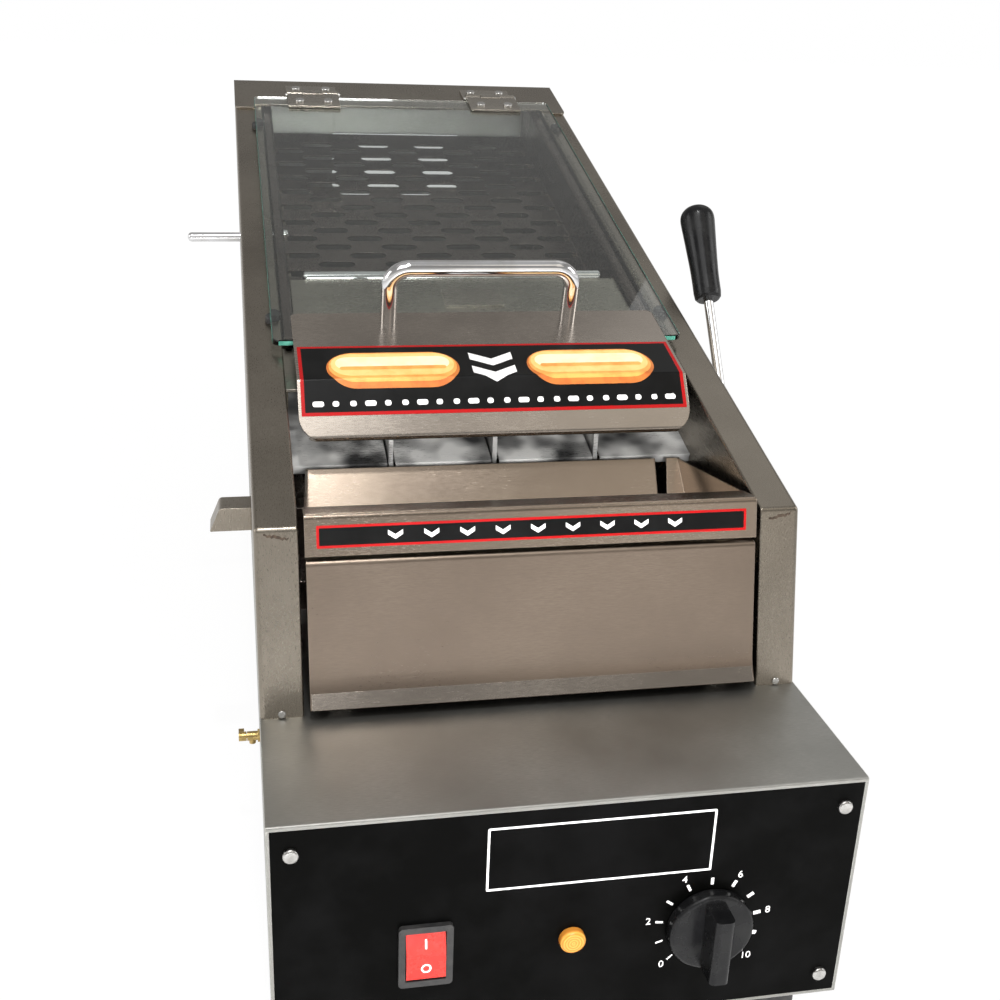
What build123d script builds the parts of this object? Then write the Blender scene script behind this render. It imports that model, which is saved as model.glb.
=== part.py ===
from build123d import *
import math
import os

os.makedirs("parts", exist_ok=True)

# Self-serve hot dog steamer.  Sizes are in millimetres and angles in degrees.
# Pieces are drawn in the shelf frame: x = 0 on the centre line, y = 0 at the foot of the
# front posts (rearward is positive) and z = 0 on top of the shelf.  Pieces on the sloping
# rails are drawn flat in the rail frame (x, v up the slope, w square to the rails) and then
# tilted.  save() moves everything so that the origin is under the middle, on the table.

# ---------------------------------------------------------------- cabinet
overall_width = 266.0
body_depth = 600.0            # foot of the posts to the rear face
shelf_depth = 85.0            # shelf in front of the posts
base_height = 120.0
foot_height = 25.0
wall_width = 20.5             # hollow side walls, which end in the rails and posts
post_height = 88.2            # shelf to the bend between post and rail
post_lean = 12.5
rail_slope = 14.8
sheet = 1.2                   # cabinet sheet
base_sheet = 1.5
shelf_sheet = 2.0
rail_edge_radius = 2.4
bend_radius = 3.0             # outside of the bend between post and rail
touch_gap = 0.3               # between pieces that move past each other
side_gap = 0.1                # between a fixed insert and the walls

# ---------------------------------------------------------------- ramp
deck_drop = 34.8              # rail tops to the deck, square to the rails
deck_inset = 7.5              # walls to the upstands of the deck
deck_flange_drop = 3.0
deck_flange_width = 5.4
apron_front_y = 124.0
apron_rear_y = 200.0
apron_lip = 5.0
deck_rear_margin = 16.0
slot_length = 25.0
slot_width = 9.0
slot_pitch_x = 46.0
slot_pitch_v = 13.5
slot_margin = 22.0
ledge_leg = 12.0
ledge_sheet = 1.5

# ---------------------------------------------------------------- inner cover below the glass
baffle_drop = 7.7
baffle_front_y = 150.0
baffle_rear_y = 271.5
baffle_inset = 8.5
baffle_rod_diameter = 8.0
baffle_rod_inset = 8.0
baffle_tab_size = (37.0, 22.0, 1.2)
baffle_tab_x = 6.5
baffle_tab_v = 232.0

# ---------------------------------------------------------------- lid
glass_edge_inset = 15.0       # glass to the outer faces of the walls
glass_thickness = 3.5
glass_front_v = 160.0
glass_rear_gap = 8.0          # hinge axis to the rear edge of the glass
bumper_height = 3.8
bumper_diameter = 9.0
bumper_inset = 1.5
bumper_front_v = 196.0
bumper_setback = 56.0         # rear buttons ahead of the hinge axis
glass_seat_gap = 0.2
hood_sheet = 1.4
hood_inset = 5.5
hood_rear_v = 188.0
hood_bend_v = 116.0
hood_face_length = 34.5
hood_face_angle = 38.5        # face below the top plate
hood_corner_radius = 14.0     # lower corners of the face
hood_rear_radius = 4.0
handle_rod = 9.5
handle_half_span = 52.5
handle_v = 176.0
handle_height = 33.8
handle_corner_radius = 11.0
handle_screw = 4.0
handle_screw_head = (9.0, 3.0)
hinge_setback = 44.4          # hinge axis to the rear end of the rails
hinge_x = 72.0
hinge_width = 40.0
hinge_knuckle = 8.0
hinge_pin = 4.0
hinge_sheet = 1.6
hinge_leaf_reach = 30.0
pin_clearance = 0.06
rear_cover_lead = 16.0        # front of the cover ahead of the hinge axis
rear_cover_skirt = 16.0

# ---------------------------------------------------------------- gate rotor and lever
rotor_y = 176.0
rotor_z = 62.0
shaft_diameter = 8.0
shaft_clearance = 0.05
finger_x = (-57.5, 0.0, 57.5)
finger_sheet = 2.5
finger_slot = 4.5
finger_hub = (18.0, 8.0)
finger_front = 49.0           # rotor axis to the upright front edge
finger_tip_rise = 30.0
finger_foot_rise = 14.0
finger_top_length = 22.0
finger_throat = ((-14.0, 32.0), (-4.0, 8.0), (-4.0, -9.0), (-8.0, -8.0))
tooth_root = ((7.0, -5.0), (-5.0, -8.0), (-4.0, 9.0))
finger_slot_rear_y = 198.0
tooth_radius = 42.0
tooth_angle = 49.0            # behind the upright, at rest
tooth_half_angle = 6.0
bush_diameter = 12.0
bush_flange = (18.0, 1.5)
lever_side_reach = 24.0       # wall to the middle of the lever
lever_tilt = 36.8
lever_rod = 6.0
lever_hub = (20.0, 14.0)
lever_boss = 13.0
knob_start = 100.3            # rotor axis to the foot of the knob
knob_length = 64.4
knob_depth = 40.0
knob_foot = ((7.0, 0.0), (8.3, 1.5), (8.7, 5.0))
knob_side = ((8.7, 14.0), (9.4, 30.0), (10.3, 44.0), (10.9, 53.0), (10.2, 59.5), (6.2, 63.6))

# ---------------------------------------------------------------- bun tray, drawer, bulkhead
tray_inset = 8.5              # walls to the rear of the trough
tray_front_inset = 3.5        # walls to its front; the end plates splay between the two
tray_flange_inset = 2.5
flange_foot_s = 76.6          # up the leaning front, from the shelf
flange_top_s = 96.0
front_proud = 0.9             # middle of the front sheets, ahead of the posts
tray_rim_y = 36.5
tray_rim_z = 90.8
tray_floor = ((47.0, 47.0), (88.0, 47.0))
tray_lip_y = 118.6
tray_lip_z = 79.6
tray_notch_top_inset = (14.0, 7.0)
tray_notch_foot_inset = (17.0, 12.5)
tray_rest_width = 16.0
bulkhead_y = 113.0
bulkhead_height = 60.0
bulkhead_foot = 12.0
drawer_inset = 7.0
drawer_front_inset = 2.9
drawer_foot_s = 4.0
drawer_top_s = 74.4
drawer_hem = 7.0
drawer_lip = 3.5
drawer_flare = 8.0            # height of the flared foot
drawer_flare_radius = 30.0
drawer_top_radius = 2.4
drawer_rear_y = 110.0
drawer_height = 42.0
glide_height = 2.0
glide_inset = 10.5            # side of the drawer to the middle of a glide
glide_width = 10.0
drawer_front_margin = 8.0

# ---------------------------------------------------------------- water tank and heater
tank_inset = 14.5
tank_front_y = 215.0
tank_rear_margin = 40.0
tank_depth = 95.0
tank_flange = 8.0
element_diameter = 8.0
element_half_span = 42.0
element_rise = 16.0
element_margin = 26.0
element_tail = 18.0

# ---------------------------------------------------------------- controls
panel_sheet = 2.0
control_z = -72.0
knob_x = 64.0
control_knob = (40.0, 20.0)
knob_grip = (9.0, 14.0)
knob_gap = 1.0
spindle_diameter = 6.0
thermostat_box = (34.0, 26.0, 34.0)
rocker_x = -66.0
rocker_bezel = (24.0, 32.0, 2.5)
rocker_radius = 12.6
rocker_width = 17.4
rocker_tilt = 8.0
rocker_body_depth = 22.0
rocker_wall = 1.5
rocker_pin = 2.4
rocker_pivot = 3.0
lamp_x = 0.0
lamp_diameter = 12.0
lamp_reach = 4.0
lamp_body = (9.0, 16.0)
inlet_side_inset = 55.0
inlet_z = -62.0
inlet_flange = (50.0, 24.0, 3.0)
inlet_body = (28.0, 20.0, 24.0)
inlet_recess = (23.0, 15.0, 16.0)
inlet_blade = (2.0, 4.0, 10.0)

# ---------------------------------------------------------------- side fittings
drain_y = 120.0
drain_z = -82.5
drain_pipe_diameter = 7.0
drain_pipe_x = -60.0
drain_flange = (8.4, 1.2)
drain_barrel = (5.4, 6.0)
drain_spout = (3.8, 4.4, 0.8)  # diameter, drop, wall
drain_handle_size = (4.4, 4.0, 6.5)
drain_stem = (2.4, 3.0)
pin_y = 375.0
pin_z = 156.3
pin_diameter = 6.2
pin_reach_in = 5.0            # end of the pin past the side of the deck
pin_reach_out = 35.0
pin_collar = (10.0, 3.0)
cowl_y = 190.0
cowl_length = 19.0
cowl_top_z = 30.3
cowl_foot_z = 16.0
cowl_reach = (18.0, 23.8)
steam_vent = (11.0, 12.0)      # hole in the wall behind the cowl
foot_diameter = 36.0
foot_neck = 30.0
foot_side_inset = 25.0
foot_inset = 30.0
foot_screw = (5.0, 10.0, 4.0)
screw_head = (7.0, 2.2)
post_screw = (3.8, 1.4)
post_screw_s = 2.1            # up the post, just clear of the shelf
vent_slot = (36.0, 4.0)
vent_count = 6
vent_pitch = 10.0

# ---------------------------------------------------------------- worked out from the sizes above
half_width = overall_width / 2
inner_x = half_width - wall_width
slope_tan = math.tan(math.radians(rail_slope))
slope_sin = math.sin(math.radians(rail_slope))
slope_cos = math.cos(math.radians(rail_slope))
lean_sin = math.sin(math.radians(post_lean))
lean_cos = math.cos(math.radians(post_lean))
bend_y = post_height * lean_sin / lean_cos
reach_front = shelf_depth + knob_gap + control_knob[1]
reach_rear = body_depth + inlet_flange[2]
origin_shift = (0, (reach_front - reach_rear) / 2, base_height + foot_height)
deck_half_width = inner_x - deck_inset
deck_rear_y = body_depth - deck_rear_margin
baffle_half_width = inner_x - baffle_inset
baffle_rod_half_length = baffle_half_width - baffle_rod_inset
glass_half_width = half_width - glass_edge_inset
bumper_x = glass_half_width - bumper_inset
hood_half_width = inner_x - hood_inset
lever_x = half_width + lever_side_reach
tray_rear_half_width = inner_x - tray_inset
tray_front_half_width = inner_x - tray_front_inset
tray_flange_half_width = inner_x - tray_flange_inset
drawer_half_width = inner_x - drawer_inset
drawer_front_half_width = inner_x - drawer_front_inset
glide_x = drawer_half_width - glide_inset
tank_half_width = inner_x - tank_inset
tank_rear_y = body_depth - tank_rear_margin
foot_x = half_width - foot_side_inset
inlet_x = half_width - inlet_side_inset
pin_inner_x = deck_half_width - pin_reach_in
pin_outer_x = half_width + pin_reach_out
glass_bottom = bumper_height + glass_seat_gap
glass_top = glass_bottom + glass_thickness
hood_bottom = glass_top + side_gap
hood_top = hood_bottom + hood_sheet
hinge_w = glass_bottom + glass_thickness / 2
cover_top = base_sheet
rear_v = (body_depth - bend_y) / slope_cos
hinge_v = rear_v - hinge_setback
rear_cover_v = hinge_v - rear_cover_lead
bumper_v = (bumper_front_v, hinge_v - bumper_setback)


def rail_z(y):
    """Height of the rail tops at a distance behind the posts."""
    return post_height + (y - bend_y) * slope_tan


def slope_v(y, w):
    """Distance up the slope of the point at depth y that lies w above the rails."""
    return (y - bend_y + w * slope_sin) / slope_cos


def deck_front_v():
    """Front edge of the ramp channel, up the slope."""
    return slope_v(apron_rear_y, -deck_drop) + touch_gap


def tilt(part):
    """From the rail frame to the shelf frame."""
    return Pos(0, bend_y, post_height) * Rot(rail_slope, 0, 0) * part


def front_point(s, n):
    """A point s up the leaning front and n behind the posts' face, as (y, z)."""
    return (s * lean_sin + n * lean_cos, s * lean_cos - n * lean_sin)


def box(x0, x1, y0, y1, z0, z1):
    """A block between two corners."""
    centre = Pos((x0 + x1) / 2, (y0 + y1) / 2, (z0 + z1) / 2)
    return centre * Box(x1 - x0, y1 - y0, z1 - z0)


def prism_x(sketch, x0, x1):
    """A sketch drawn as (y, z), stretched across the cabinet."""
    return Pos(x0, 0, 0) * extrude(Plane.YZ * sketch, x1 - x0)


def prism_y(sketch, y0, y1):
    """A sketch drawn as (x, z), stretched front to back."""
    return Pos(0, y1, 0) * Rot(90, 0, 0) * extrude(sketch, y1 - y0)


def outline(*points):
    """A flat face with straight sides."""
    return make_face(Polyline(*points, close=True))


def folded(points, radius, thickness):
    """The section of a folded sheet, with its middle along the points."""
    return trace(FilletPolyline(*points, radius=radius), line_width=thickness)


def rod_x(x0, x1, y, z, diameter):
    """A round bar across the cabinet."""
    return Pos((x0 + x1) / 2, y, z) * Rot(0, 90, 0) * Cylinder(diameter / 2, x1 - x0)


def rod_y(x, y0, y1, z, diameter):
    """A round bar front to back."""
    return Pos(x, (y0 + y1) / 2, z) * Rot(90, 0, 0) * Cylinder(diameter / 2, y1 - y0)


def rod_z(x, y, z0, z1, diameter):
    """An upright round bar."""
    return Pos(x, y, (z0 + z1) / 2) * Cylinder(diameter / 2, z1 - z0)


def bent_rod(points, radius, diameter):
    """A round bar along straight runs joined by arcs."""
    path = FilletPolyline(*points, radius=radius)
    section = Plane(origin=path @ 0, z_dir=path % 0) * Circle(diameter / 2)
    return sweep(section, path=path)


def both_sides(part):
    """A piece and its mirror image, as two solids."""
    return Compound([part, mirror(part, about=Plane.YZ)])


def group(parts):
    """Separate solids that share one node."""
    return Compound(list(parts))


# ================================================================ cabinet pieces
def side_wall(side):
    """Hollow box wall; its top is the rail and its front is the leaning post."""
    drop = 10.0
    corners = [(0, 0), (bend_y, post_height), (body_depth, rail_z(body_depth)), (body_depth, 0)]
    deep = [(-drop * lean_sin / lean_cos, -drop)] + corners[1:3] + [(body_depth, -drop)]
    wall = prism_x(outline(*corners), inner_x, half_width)
    bend = wall.edges().sort_by_distance(((inner_x + half_width) / 2, bend_y, post_height))[0]
    wall = fillet(bend, bend_radius)
    middle = (bend_y + body_depth) / 2
    for x, radius in ((half_width, rail_edge_radius), (inner_x, rail_edge_radius / 2)):
        rail_edge = wall.edges().sort_by_distance((x, middle, rail_z(middle)))[0]
        post_edge = wall.edges().sort_by_distance((x, bend_y / 2, post_height / 2))[0]
        wall = fillet([rail_edge, post_edge], radius)
    cavity = offset(outline(*deep), amount=-sheet, kind=Kind.INTERSECTION)
    wall -= prism_x(cavity, inner_x + sheet, half_width - sheet)
    reach = half_width + 1
    if side > 0:
        wall -= rod_x(inner_x - 1, reach, rotor_y, rotor_z, bush_diameter)
        return wall
    wall = mirror(wall, about=Plane.YZ)
    wall -= rod_x(-inner_x - sheet - 1, -inner_x + 1, rotor_y, rotor_z, bush_diameter)
    wall -= rod_x(-reach, -inner_x + 1, pin_y, pin_z, pin_diameter + 2 * pin_clearance)
    middle_y = cowl_y + cowl_length / 2
    hole_z = (cowl_top_z + cowl_foot_z) / 2
    wall -= Pos(-half_width, middle_y, hole_z) * Box(4 * sheet, *steam_vent)
    return wall


def base_shell():
    """Bottom, sides and back of the base box, folded from one sheet."""
    top = -shelf_sheet
    outer = box(-half_width, half_width, -shelf_depth, body_depth, -base_height, top)
    outer = fillet(outer.edges().filter_by(Axis.Z).sort_by(Axis.Y)[-2:], 3)
    inside = box(-half_width + base_sheet, half_width - base_sheet, -shelf_depth - 1,
                 body_depth - base_sheet, -base_height + base_sheet, top + 1)
    shell = outer - inside
    shell -= rod_x(-half_width - 1, -half_width + 5, drain_y, drain_z, drain_pipe_diameter + 1)
    shell -= Pos(inlet_x, body_depth, inlet_z) * Box(inlet_body[0] + 1, 8, inlet_body[1] + 1)
    for x, y in foot_places():
        shell -= rod_z(x, y, -base_height - 1, -base_height + 3, foot_screw[0] + 0.4)
    for index in range(vent_count):
        y = body_depth * 0.55 + index * vent_pitch
        slot = Rot(0, 90, 0) * Rot(0, 0, 90) * SlotOverall(vent_slot[0], vent_slot[1])
        cut = extrude(Pos(-half_width - 1, y, control_z) * Rot(90, 0, 0) * slot,
                      overall_width + 2, dir=(1, 0, 0))
        shell -= cut
    return shell


def shelf_plate():
    """Top plate of the base: the shelf in front, the floor of the cabinet behind."""
    plate = box(-half_width, half_width, -shelf_depth, body_depth, -shelf_sheet, 0)
    plate = fillet(plate.edges().filter_by(Axis.X).sort_by(Axis.Y)[:2].sort_by(Axis.Z)[-1:], 1)
    reach = tank_half_width + 1
    return plate - box(-reach, reach, tank_front_y - 1, tank_rear_y + 1, -5, 5)


def control_panel():
    """Front panel of the base."""
    margin = base_sheet + side_gap
    panel = box(-half_width + margin, half_width - margin, -shelf_depth,
                -shelf_depth + panel_sheet, -base_height + margin, -shelf_sheet)
    y0, y1 = -shelf_depth - 1, -shelf_depth + panel_sheet + 1
    panel -= rod_y(knob_x, y0, y1, control_z, spindle_diameter + 0.4)
    panel -= rod_y(lamp_x, y0, y1, control_z, lamp_body[0] + 0.2)
    width, height = rocker_opening()
    panel -= box(rocker_x - width / 2 - 1.6, rocker_x + width / 2 + 1.6, y0, y1,
                 control_z - height / 2 - 1.6, control_z + height / 2 + 1.6)
    return panel


def back_panel():
    """Closes the rear between the walls, with a row of vent slots near the top."""
    top = rail_z(body_depth) - 2
    panel = box(-inner_x + side_gap, inner_x - side_gap, body_depth - sheet, body_depth, 0, top)
    for index in range(vent_count):
        z = top * 0.62 + index * vent_pitch
        slot = SlotOverall(vent_slot[0] * 3, vent_slot[1])
        panel -= prism_y(Pos(0, z) * slot, body_depth - 5, body_depth + 5)
    return panel


def rear_cover():
    """Fixed cover over the rear of the rails, which carries the hinges."""
    plate = box(-half_width, half_width, rear_cover_v, rear_v + base_sheet, 0, cover_top)
    plate = fillet(plate.edges().filter_by(Axis.Z).sort_by(Axis.Y)[:2], 4)
    cover = tilt(plate)
    top = rail_z(body_depth)
    skirt = box(-half_width, half_width, body_depth, body_depth + base_sheet,
                top - rear_cover_skirt, top + 1)
    return cover + skirt


def water_tank():
    """Open pan for the water, hung by its flange in the floor of the cabinet."""
    x = tank_half_width
    pan = box(-x, x, tank_front_y, tank_rear_y, -tank_depth, sheet)
    pan = fillet(pan.edges().filter_by(Axis.Z), 12)
    inner = box(-x + sheet, x - sheet, tank_front_y + sheet, tank_rear_y - sheet,
                -tank_depth + sheet, sheet + 1)
    inner = fillet(inner.edges().filter_by(Axis.Z), 12 - sheet)
    rim = box(-x - tank_flange, x + tank_flange, tank_front_y - tank_flange,
              tank_rear_y + tank_flange, 0, sheet)
    tank = pan + rim - inner
    tank -= rod_y(drain_pipe_x, tank_front_y - 2, tank_front_y + 4, drain_z, drain_pipe_diameter)
    for x in (-element_half_span, element_half_span):
        z = -tank_depth + element_rise
        tank -= rod_y(x, tank_front_y - 2, tank_front_y + 4, z, element_diameter)
    return tank


def heating_element():
    """Tubular heater: a long loop near the bottom of the tank."""
    z = -tank_depth + element_rise
    front = tank_front_y - element_tail
    rear = tank_rear_y - element_margin
    x = element_half_span
    return bent_rod([(-x, front, z), (-x, rear, z), (x, rear, z), (x, front, z)],
                    x * 0.6, element_diameter)


def drain_pipe():
    """Pipe from the tank to the tap on the left side."""
    return bent_rod([(drain_pipe_x, tank_front_y + sheet, drain_z),
                     (drain_pipe_x, drain_y, drain_z),
                     (-half_width + base_sheet, drain_y, drain_z)], 16, drain_pipe_diameter)


def ramp_ledges():
    """Angles on the walls that carry the apron and the deck."""
    top = -deck_drop - sheet
    v0 = slope_v(apron_front_y + 6, top)
    v1 = slope_v(deck_rear_y - 8, top)
    leg = box(inner_x - ledge_leg, inner_x, v0, v1, top - ledge_sheet, top)
    web = box(inner_x - ledge_sheet, inner_x, v0, v1, top - ledge_leg, top)
    return both_sides(tilt(leg + web))


def apron():
    """Front of the ramp, with slots for the gate fingers and a lip turned down."""
    w = -deck_drop
    v0 = slope_v(apron_front_y, w)
    v1 = slope_v(apron_rear_y, w)
    x = inner_x - side_gap
    plate = box(-x, x, v0, v1, w - sheet, w)
    plate += box(-x, x, v0, v0 + sheet, w - apron_lip, w)
    rear = slope_v(finger_slot_rear_y, w)
    for finger in finger_x:
        plate -= box(finger - finger_slot / 2, finger + finger_slot / 2, v0 - 1, rear,
                     w - apron_lip - 1, w + 1)
    return tilt(plate)


def ramp_deck():
    """Slotted channel that the hot dogs roll down, folded up at both sides."""
    w = -deck_drop - sheet / 2
    x = deck_half_width + sheet / 2
    top = -deck_flange_drop - sheet / 2
    v0 = deck_front_v()
    v1 = slope_v(deck_rear_y, -deck_drop)
    section = [(-x - deck_flange_width, top), (-x, top), (-x, w), (x, w), (x, top),
               (x + deck_flange_width, top)]
    deck = prism_y(folded(section, 2.0, sheet), v0, v1)
    slots = []
    rows = int((v1 - v0 - 2 * slot_margin) / slot_pitch_v)
    for row in range(rows + 1):
        v = v0 + slot_margin + row * slot_pitch_v
        columns = (-2, -1, 0, 1, 2) if row % 2 else (-1.5, -0.5, 0.5, 1.5)
        for column in columns:
            slots.append(Pos(column * slot_pitch_x, v, w - 3) * SlotOverall(slot_length, slot_width))
    deck = tilt(deck - [extrude(slot, 6) for slot in slots])
    return deck - rod_x(-half_width, -deck_half_width + 5, pin_y, pin_z, pin_diameter + touch_gap)


def baffle_plate():
    """Flat inner cover below the front of the glass, which keeps the steam in."""
    w = -baffle_drop
    v0 = slope_v(baffle_front_y, w)
    v1 = deck_front_v() - touch_gap
    v2 = slope_v(baffle_rear_y, w)
    wide = inner_x - side_gap
    plate = box(-wide, wide, v0, v1, w - sheet, w)
    plate += box(-baffle_half_width, baffle_half_width, v1 - 1, v2, w - sheet, w)
    width, length, height = baffle_tab_size
    tab = Pos(baffle_tab_x, baffle_tab_v, w + height / 2) * Box(width, length, height)
    tab = fillet(tab.edges().filter_by(Axis.Z), 2)
    return tilt(plate + tab)


def baffle_rod():
    """Round bar along the rear edge of the inner cover."""
    w = -baffle_drop - sheet / 2
    v = slope_v(baffle_rear_y, -baffle_drop) + baffle_rod_diameter / 2
    rod = rod_x(-baffle_rod_half_length, baffle_rod_half_length, v, w, baffle_rod_diameter)
    rod = fillet(rod.edges(), baffle_rod_diameter * 0.3)
    return tilt(rod)


def baffle_ledges():
    """Short angles on the walls under the inner cover."""
    top = -baffle_drop - sheet
    v0 = slope_v(baffle_front_y, -baffle_drop) + 2
    v1 = deck_front_v() - 2
    leg = box(inner_x - ledge_leg, inner_x, v0, v1, top - ledge_sheet, top)
    web = box(inner_x - ledge_sheet, inner_x, v0, v1, top - ledge_leg, top)
    return both_sides(tilt(leg + web))


def glass_bumpers():
    """Rubber buttons on the rails that the glass rests on."""
    parts = []
    for v in bumper_v:
        for x in (-bumper_x, bumper_x):
            button = rod_z(x, v, 0, bumper_height, bumper_diameter)
            parts.append(tilt(fillet(button.edges().sort_by(Axis.Z)[-1:], 1.2)))
    return group(parts)


def bulkhead():
    """Upright plate between the drawer and the gate, with a foot on the floor."""
    x = inner_x - side_gap
    plate = box(-x, x, bulkhead_y, bulkhead_y + sheet, 0, bulkhead_height)
    return plate + box(-x, x, bulkhead_y, bulkhead_y + bulkhead_foot, 0, sheet)


def tray_plan(inset):
    """Column over the plan of the trough, which narrows towards the rear."""
    front, rear = tray_front_half_width - inset, tray_rear_half_width - inset
    y0, y1, y2 = 0, tray_rim_y, tray_lip_y + sheet
    plan = outline((-front, y0), (front, y0), (front, y1), (rear, y2), (-rear, y2), (-front, y1))
    return extrude(plan, flange_top_s)


def bun_tray():
    """Trough for the open bun, with a flange on the front and plates at both ends."""
    foot = front_point(flange_foot_s, -front_proud)
    fold = front_point(flange_top_s, -front_proud)
    rim = (tray_rim_y, tray_rim_z)
    lip = (tray_lip_y, tray_lip_z)
    x = tray_front_half_width
    trough = prism_x(folded([fold, rim, *tray_floor, lip], 2.0, sheet), -x, x)
    ends = prism_x(outline(fold, rim, *tray_floor, lip), -x, x)
    tray = (trough & tray_plan(0)) + (ends & (tray_plan(0) - tray_plan(sheet)))
    flange = prism_x(folded([foot, fold, rim], 2.0, sheet),
                     -tray_flange_half_width, tray_flange_half_width)
    inner_top, outer_top = (tray_rear_half_width - inset for inset in tray_notch_top_inset)
    inner_foot, outer_foot = (tray_rear_half_width - inset for inset in tray_notch_foot_inset)
    (y0, z0), (y1, z1) = tray_floor[1], lip
    gap = outline((inner_top, z1 + 3), (outer_top, z1 + 3), (outer_foot, z0 + 6),
                  (inner_foot, z0 + 6))
    return tray + flange - prism_y(gap, y0 + 2, y1 + 4)


def tray_rests():
    """Angles on the walls under the bun tray."""
    top = tray_floor[1][1] - sheet / 2 - side_gap
    y0, y1 = tray_floor[0][0] + 4, tray_floor[1][0] - 4
    leg = box(inner_x - tray_rest_width, inner_x, y0, y1, top - sheet, top)
    web = box(inner_x - sheet, inner_x, y0, y1, top - ledge_leg, top)
    return both_sides(leg + web)


def drawer_glides():
    """Plastic strips on the shelf plate that the drawer slides on."""
    strip = box(glide_x - glide_width / 2, glide_x + glide_width / 2, drawer_front_margin,
                drawer_rear_y - 2, 0, glide_height)
    return both_sides(fillet(strip.edges().filter_by(Axis.Y).sort_by(Axis.Z)[-2:], 0.8))


def vent_cowl():
    """Small sheet cowl over the steam vent on the left side."""
    x = -half_width
    near, far = cowl_reach
    top = cowl_top_z - sheet / 2
    section = [(x, top), (x - near, top), (x - far, cowl_foot_z)]
    cowl = prism_y(folded(section, 2.0, sheet), cowl_y, cowl_y + cowl_length)
    end = outline((x, top), (x - near, top), (x - far, cowl_foot_z), (x, cowl_foot_z))
    cowl += prism_y(end, cowl_y, cowl_y + sheet)
    cowl += prism_y(end, cowl_y + cowl_length - sheet, cowl_y + cowl_length)
    return cowl


def bush(side):
    """Plain bearing for the gate shaft, with a flange on the inside of the wall."""
    bore = shaft_diameter + 2 * shaft_clearance
    flange, thick = bush_flange
    if side > 0:
        part = rod_x(inner_x - thick, half_width + thick, rotor_y, rotor_z, bush_diameter)
        part += rod_x(inner_x - thick, inner_x, rotor_y, rotor_z, flange)
        part += rod_x(half_width, half_width + thick, rotor_y, rotor_z, flange)
        return part - rod_x(inner_x - 5, half_width + 5, rotor_y, rotor_z, bore)
    part = rod_x(-inner_x - 9, -inner_x + thick, rotor_y, rotor_z, bush_diameter)
    part += rod_x(-inner_x, -inner_x + thick, rotor_y, rotor_z, flange)
    return part - rod_x(-inner_x - 7, -inner_x + 5, rotor_y, rotor_z, bore)


def foot_places():
    """Centres of the four feet."""
    return [(x, y) for y in (-shelf_depth + foot_inset, body_depth - foot_inset)
            for x in (-foot_x, foot_x)]


def rubber_foot(x, y):
    """Tapered rubber foot with a recess for its screw."""
    low = -base_height - foot_height
    shaft, head, _ = foot_screw
    foot = Pos(x, y, low + foot_height / 2) * Cone(foot_diameter / 2, foot_neck / 2, foot_height)
    foot = fillet(foot.edges().sort_by(Axis.Z)[:1], 2)
    foot -= rod_z(x, y, low - 1, low + 10, head + 4)
    return foot - rod_z(x, y, low, -base_height + 1, shaft + 0.4)


def foot_screws():
    """Screws that hold the feet, driven from below."""
    shaft, head, head_height = foot_screw
    low = -base_height - foot_height + 10
    parts = []
    for x, y in foot_places():
        screw = rod_z(x, y, low - head_height, low, head)
        screw = fillet(screw.edges().sort_by(Axis.Z)[:1], 1.5)
        parts.append(screw + rod_z(x, y, low - 1, -base_height + base_sheet + 3, shaft))
    return group(parts)


def post_screws():
    """Round-head screws at the foot of the posts."""
    parts = []
    head, height = post_screw
    for x in (-half_width + wall_width / 2, half_width - wall_width / 2):
        y, z = front_point(post_screw_s, 0)
        screw = Pos(x, y, z) * Rot(90 - post_lean, 0, 0) * Cylinder(
            head / 2, height, align=(Align.CENTER, Align.CENTER, Align.MIN))
        parts.append(fillet(screw.edges().sort_by(Axis.Y)[:1], height * 0.6))
    return group(parts)


def panel_screws():
    """Screws around the rear skirt and the control panel."""
    head, height = screw_head
    parts = []
    for x in (-half_width + 10, half_width - 10):
        top = rail_z(body_depth) - rear_cover_skirt / 2
        y = body_depth + base_sheet
        screw = rod_y(x, y, y + height, top, head)
        parts.append(fillet(screw.edges().sort_by(Axis.Y)[-1:], height * 0.6))
        for z in (-base_height + 12, -shelf_sheet - 12):
            screw = rod_y(x, -shelf_depth - height, -shelf_depth, z, head)
            parts.append(fillet(screw.edges().sort_by(Axis.Y)[:1], height * 0.6))
    return group(parts)


# ================================================================ controls and fittings
def rocker_opening():
    """Width and height of the hole that the rocker tilts in."""
    return (rocker_width + 2 * touch_gap, 2 * rocker_radius + 2 * touch_gap)


def rocker_housing():
    """Bezel and body of the power switch."""
    width, height, thick = rocker_bezel
    y = -shelf_depth
    hole_x, hole_z = rocker_opening()
    bezel = box(rocker_x - width / 2, rocker_x + width / 2, y - thick, y,
                control_z - height / 2, control_z + height / 2)
    bezel = fillet(bezel.edges().filter_by(Axis.Y), 2.0)
    body = box(rocker_x - hole_x / 2 - rocker_wall, rocker_x + hole_x / 2 + rocker_wall, y,
               y + rocker_body_depth, control_z - hole_z / 2 - rocker_wall,
               control_z + hole_z / 2 + rocker_wall)
    hole = box(rocker_x - hole_x / 2, rocker_x + hole_x / 2, y - thick - 1,
               y + rocker_body_depth - 2, control_z - hole_z / 2, control_z + hole_z / 2)
    reach = hole_x / 2 + rocker_wall + 1
    return bezel + body - hole - rod_x(rocker_x - reach, rocker_x + reach, y + rocker_pivot,
                                       control_z, rocker_pin + 2 * pin_clearance)


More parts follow.
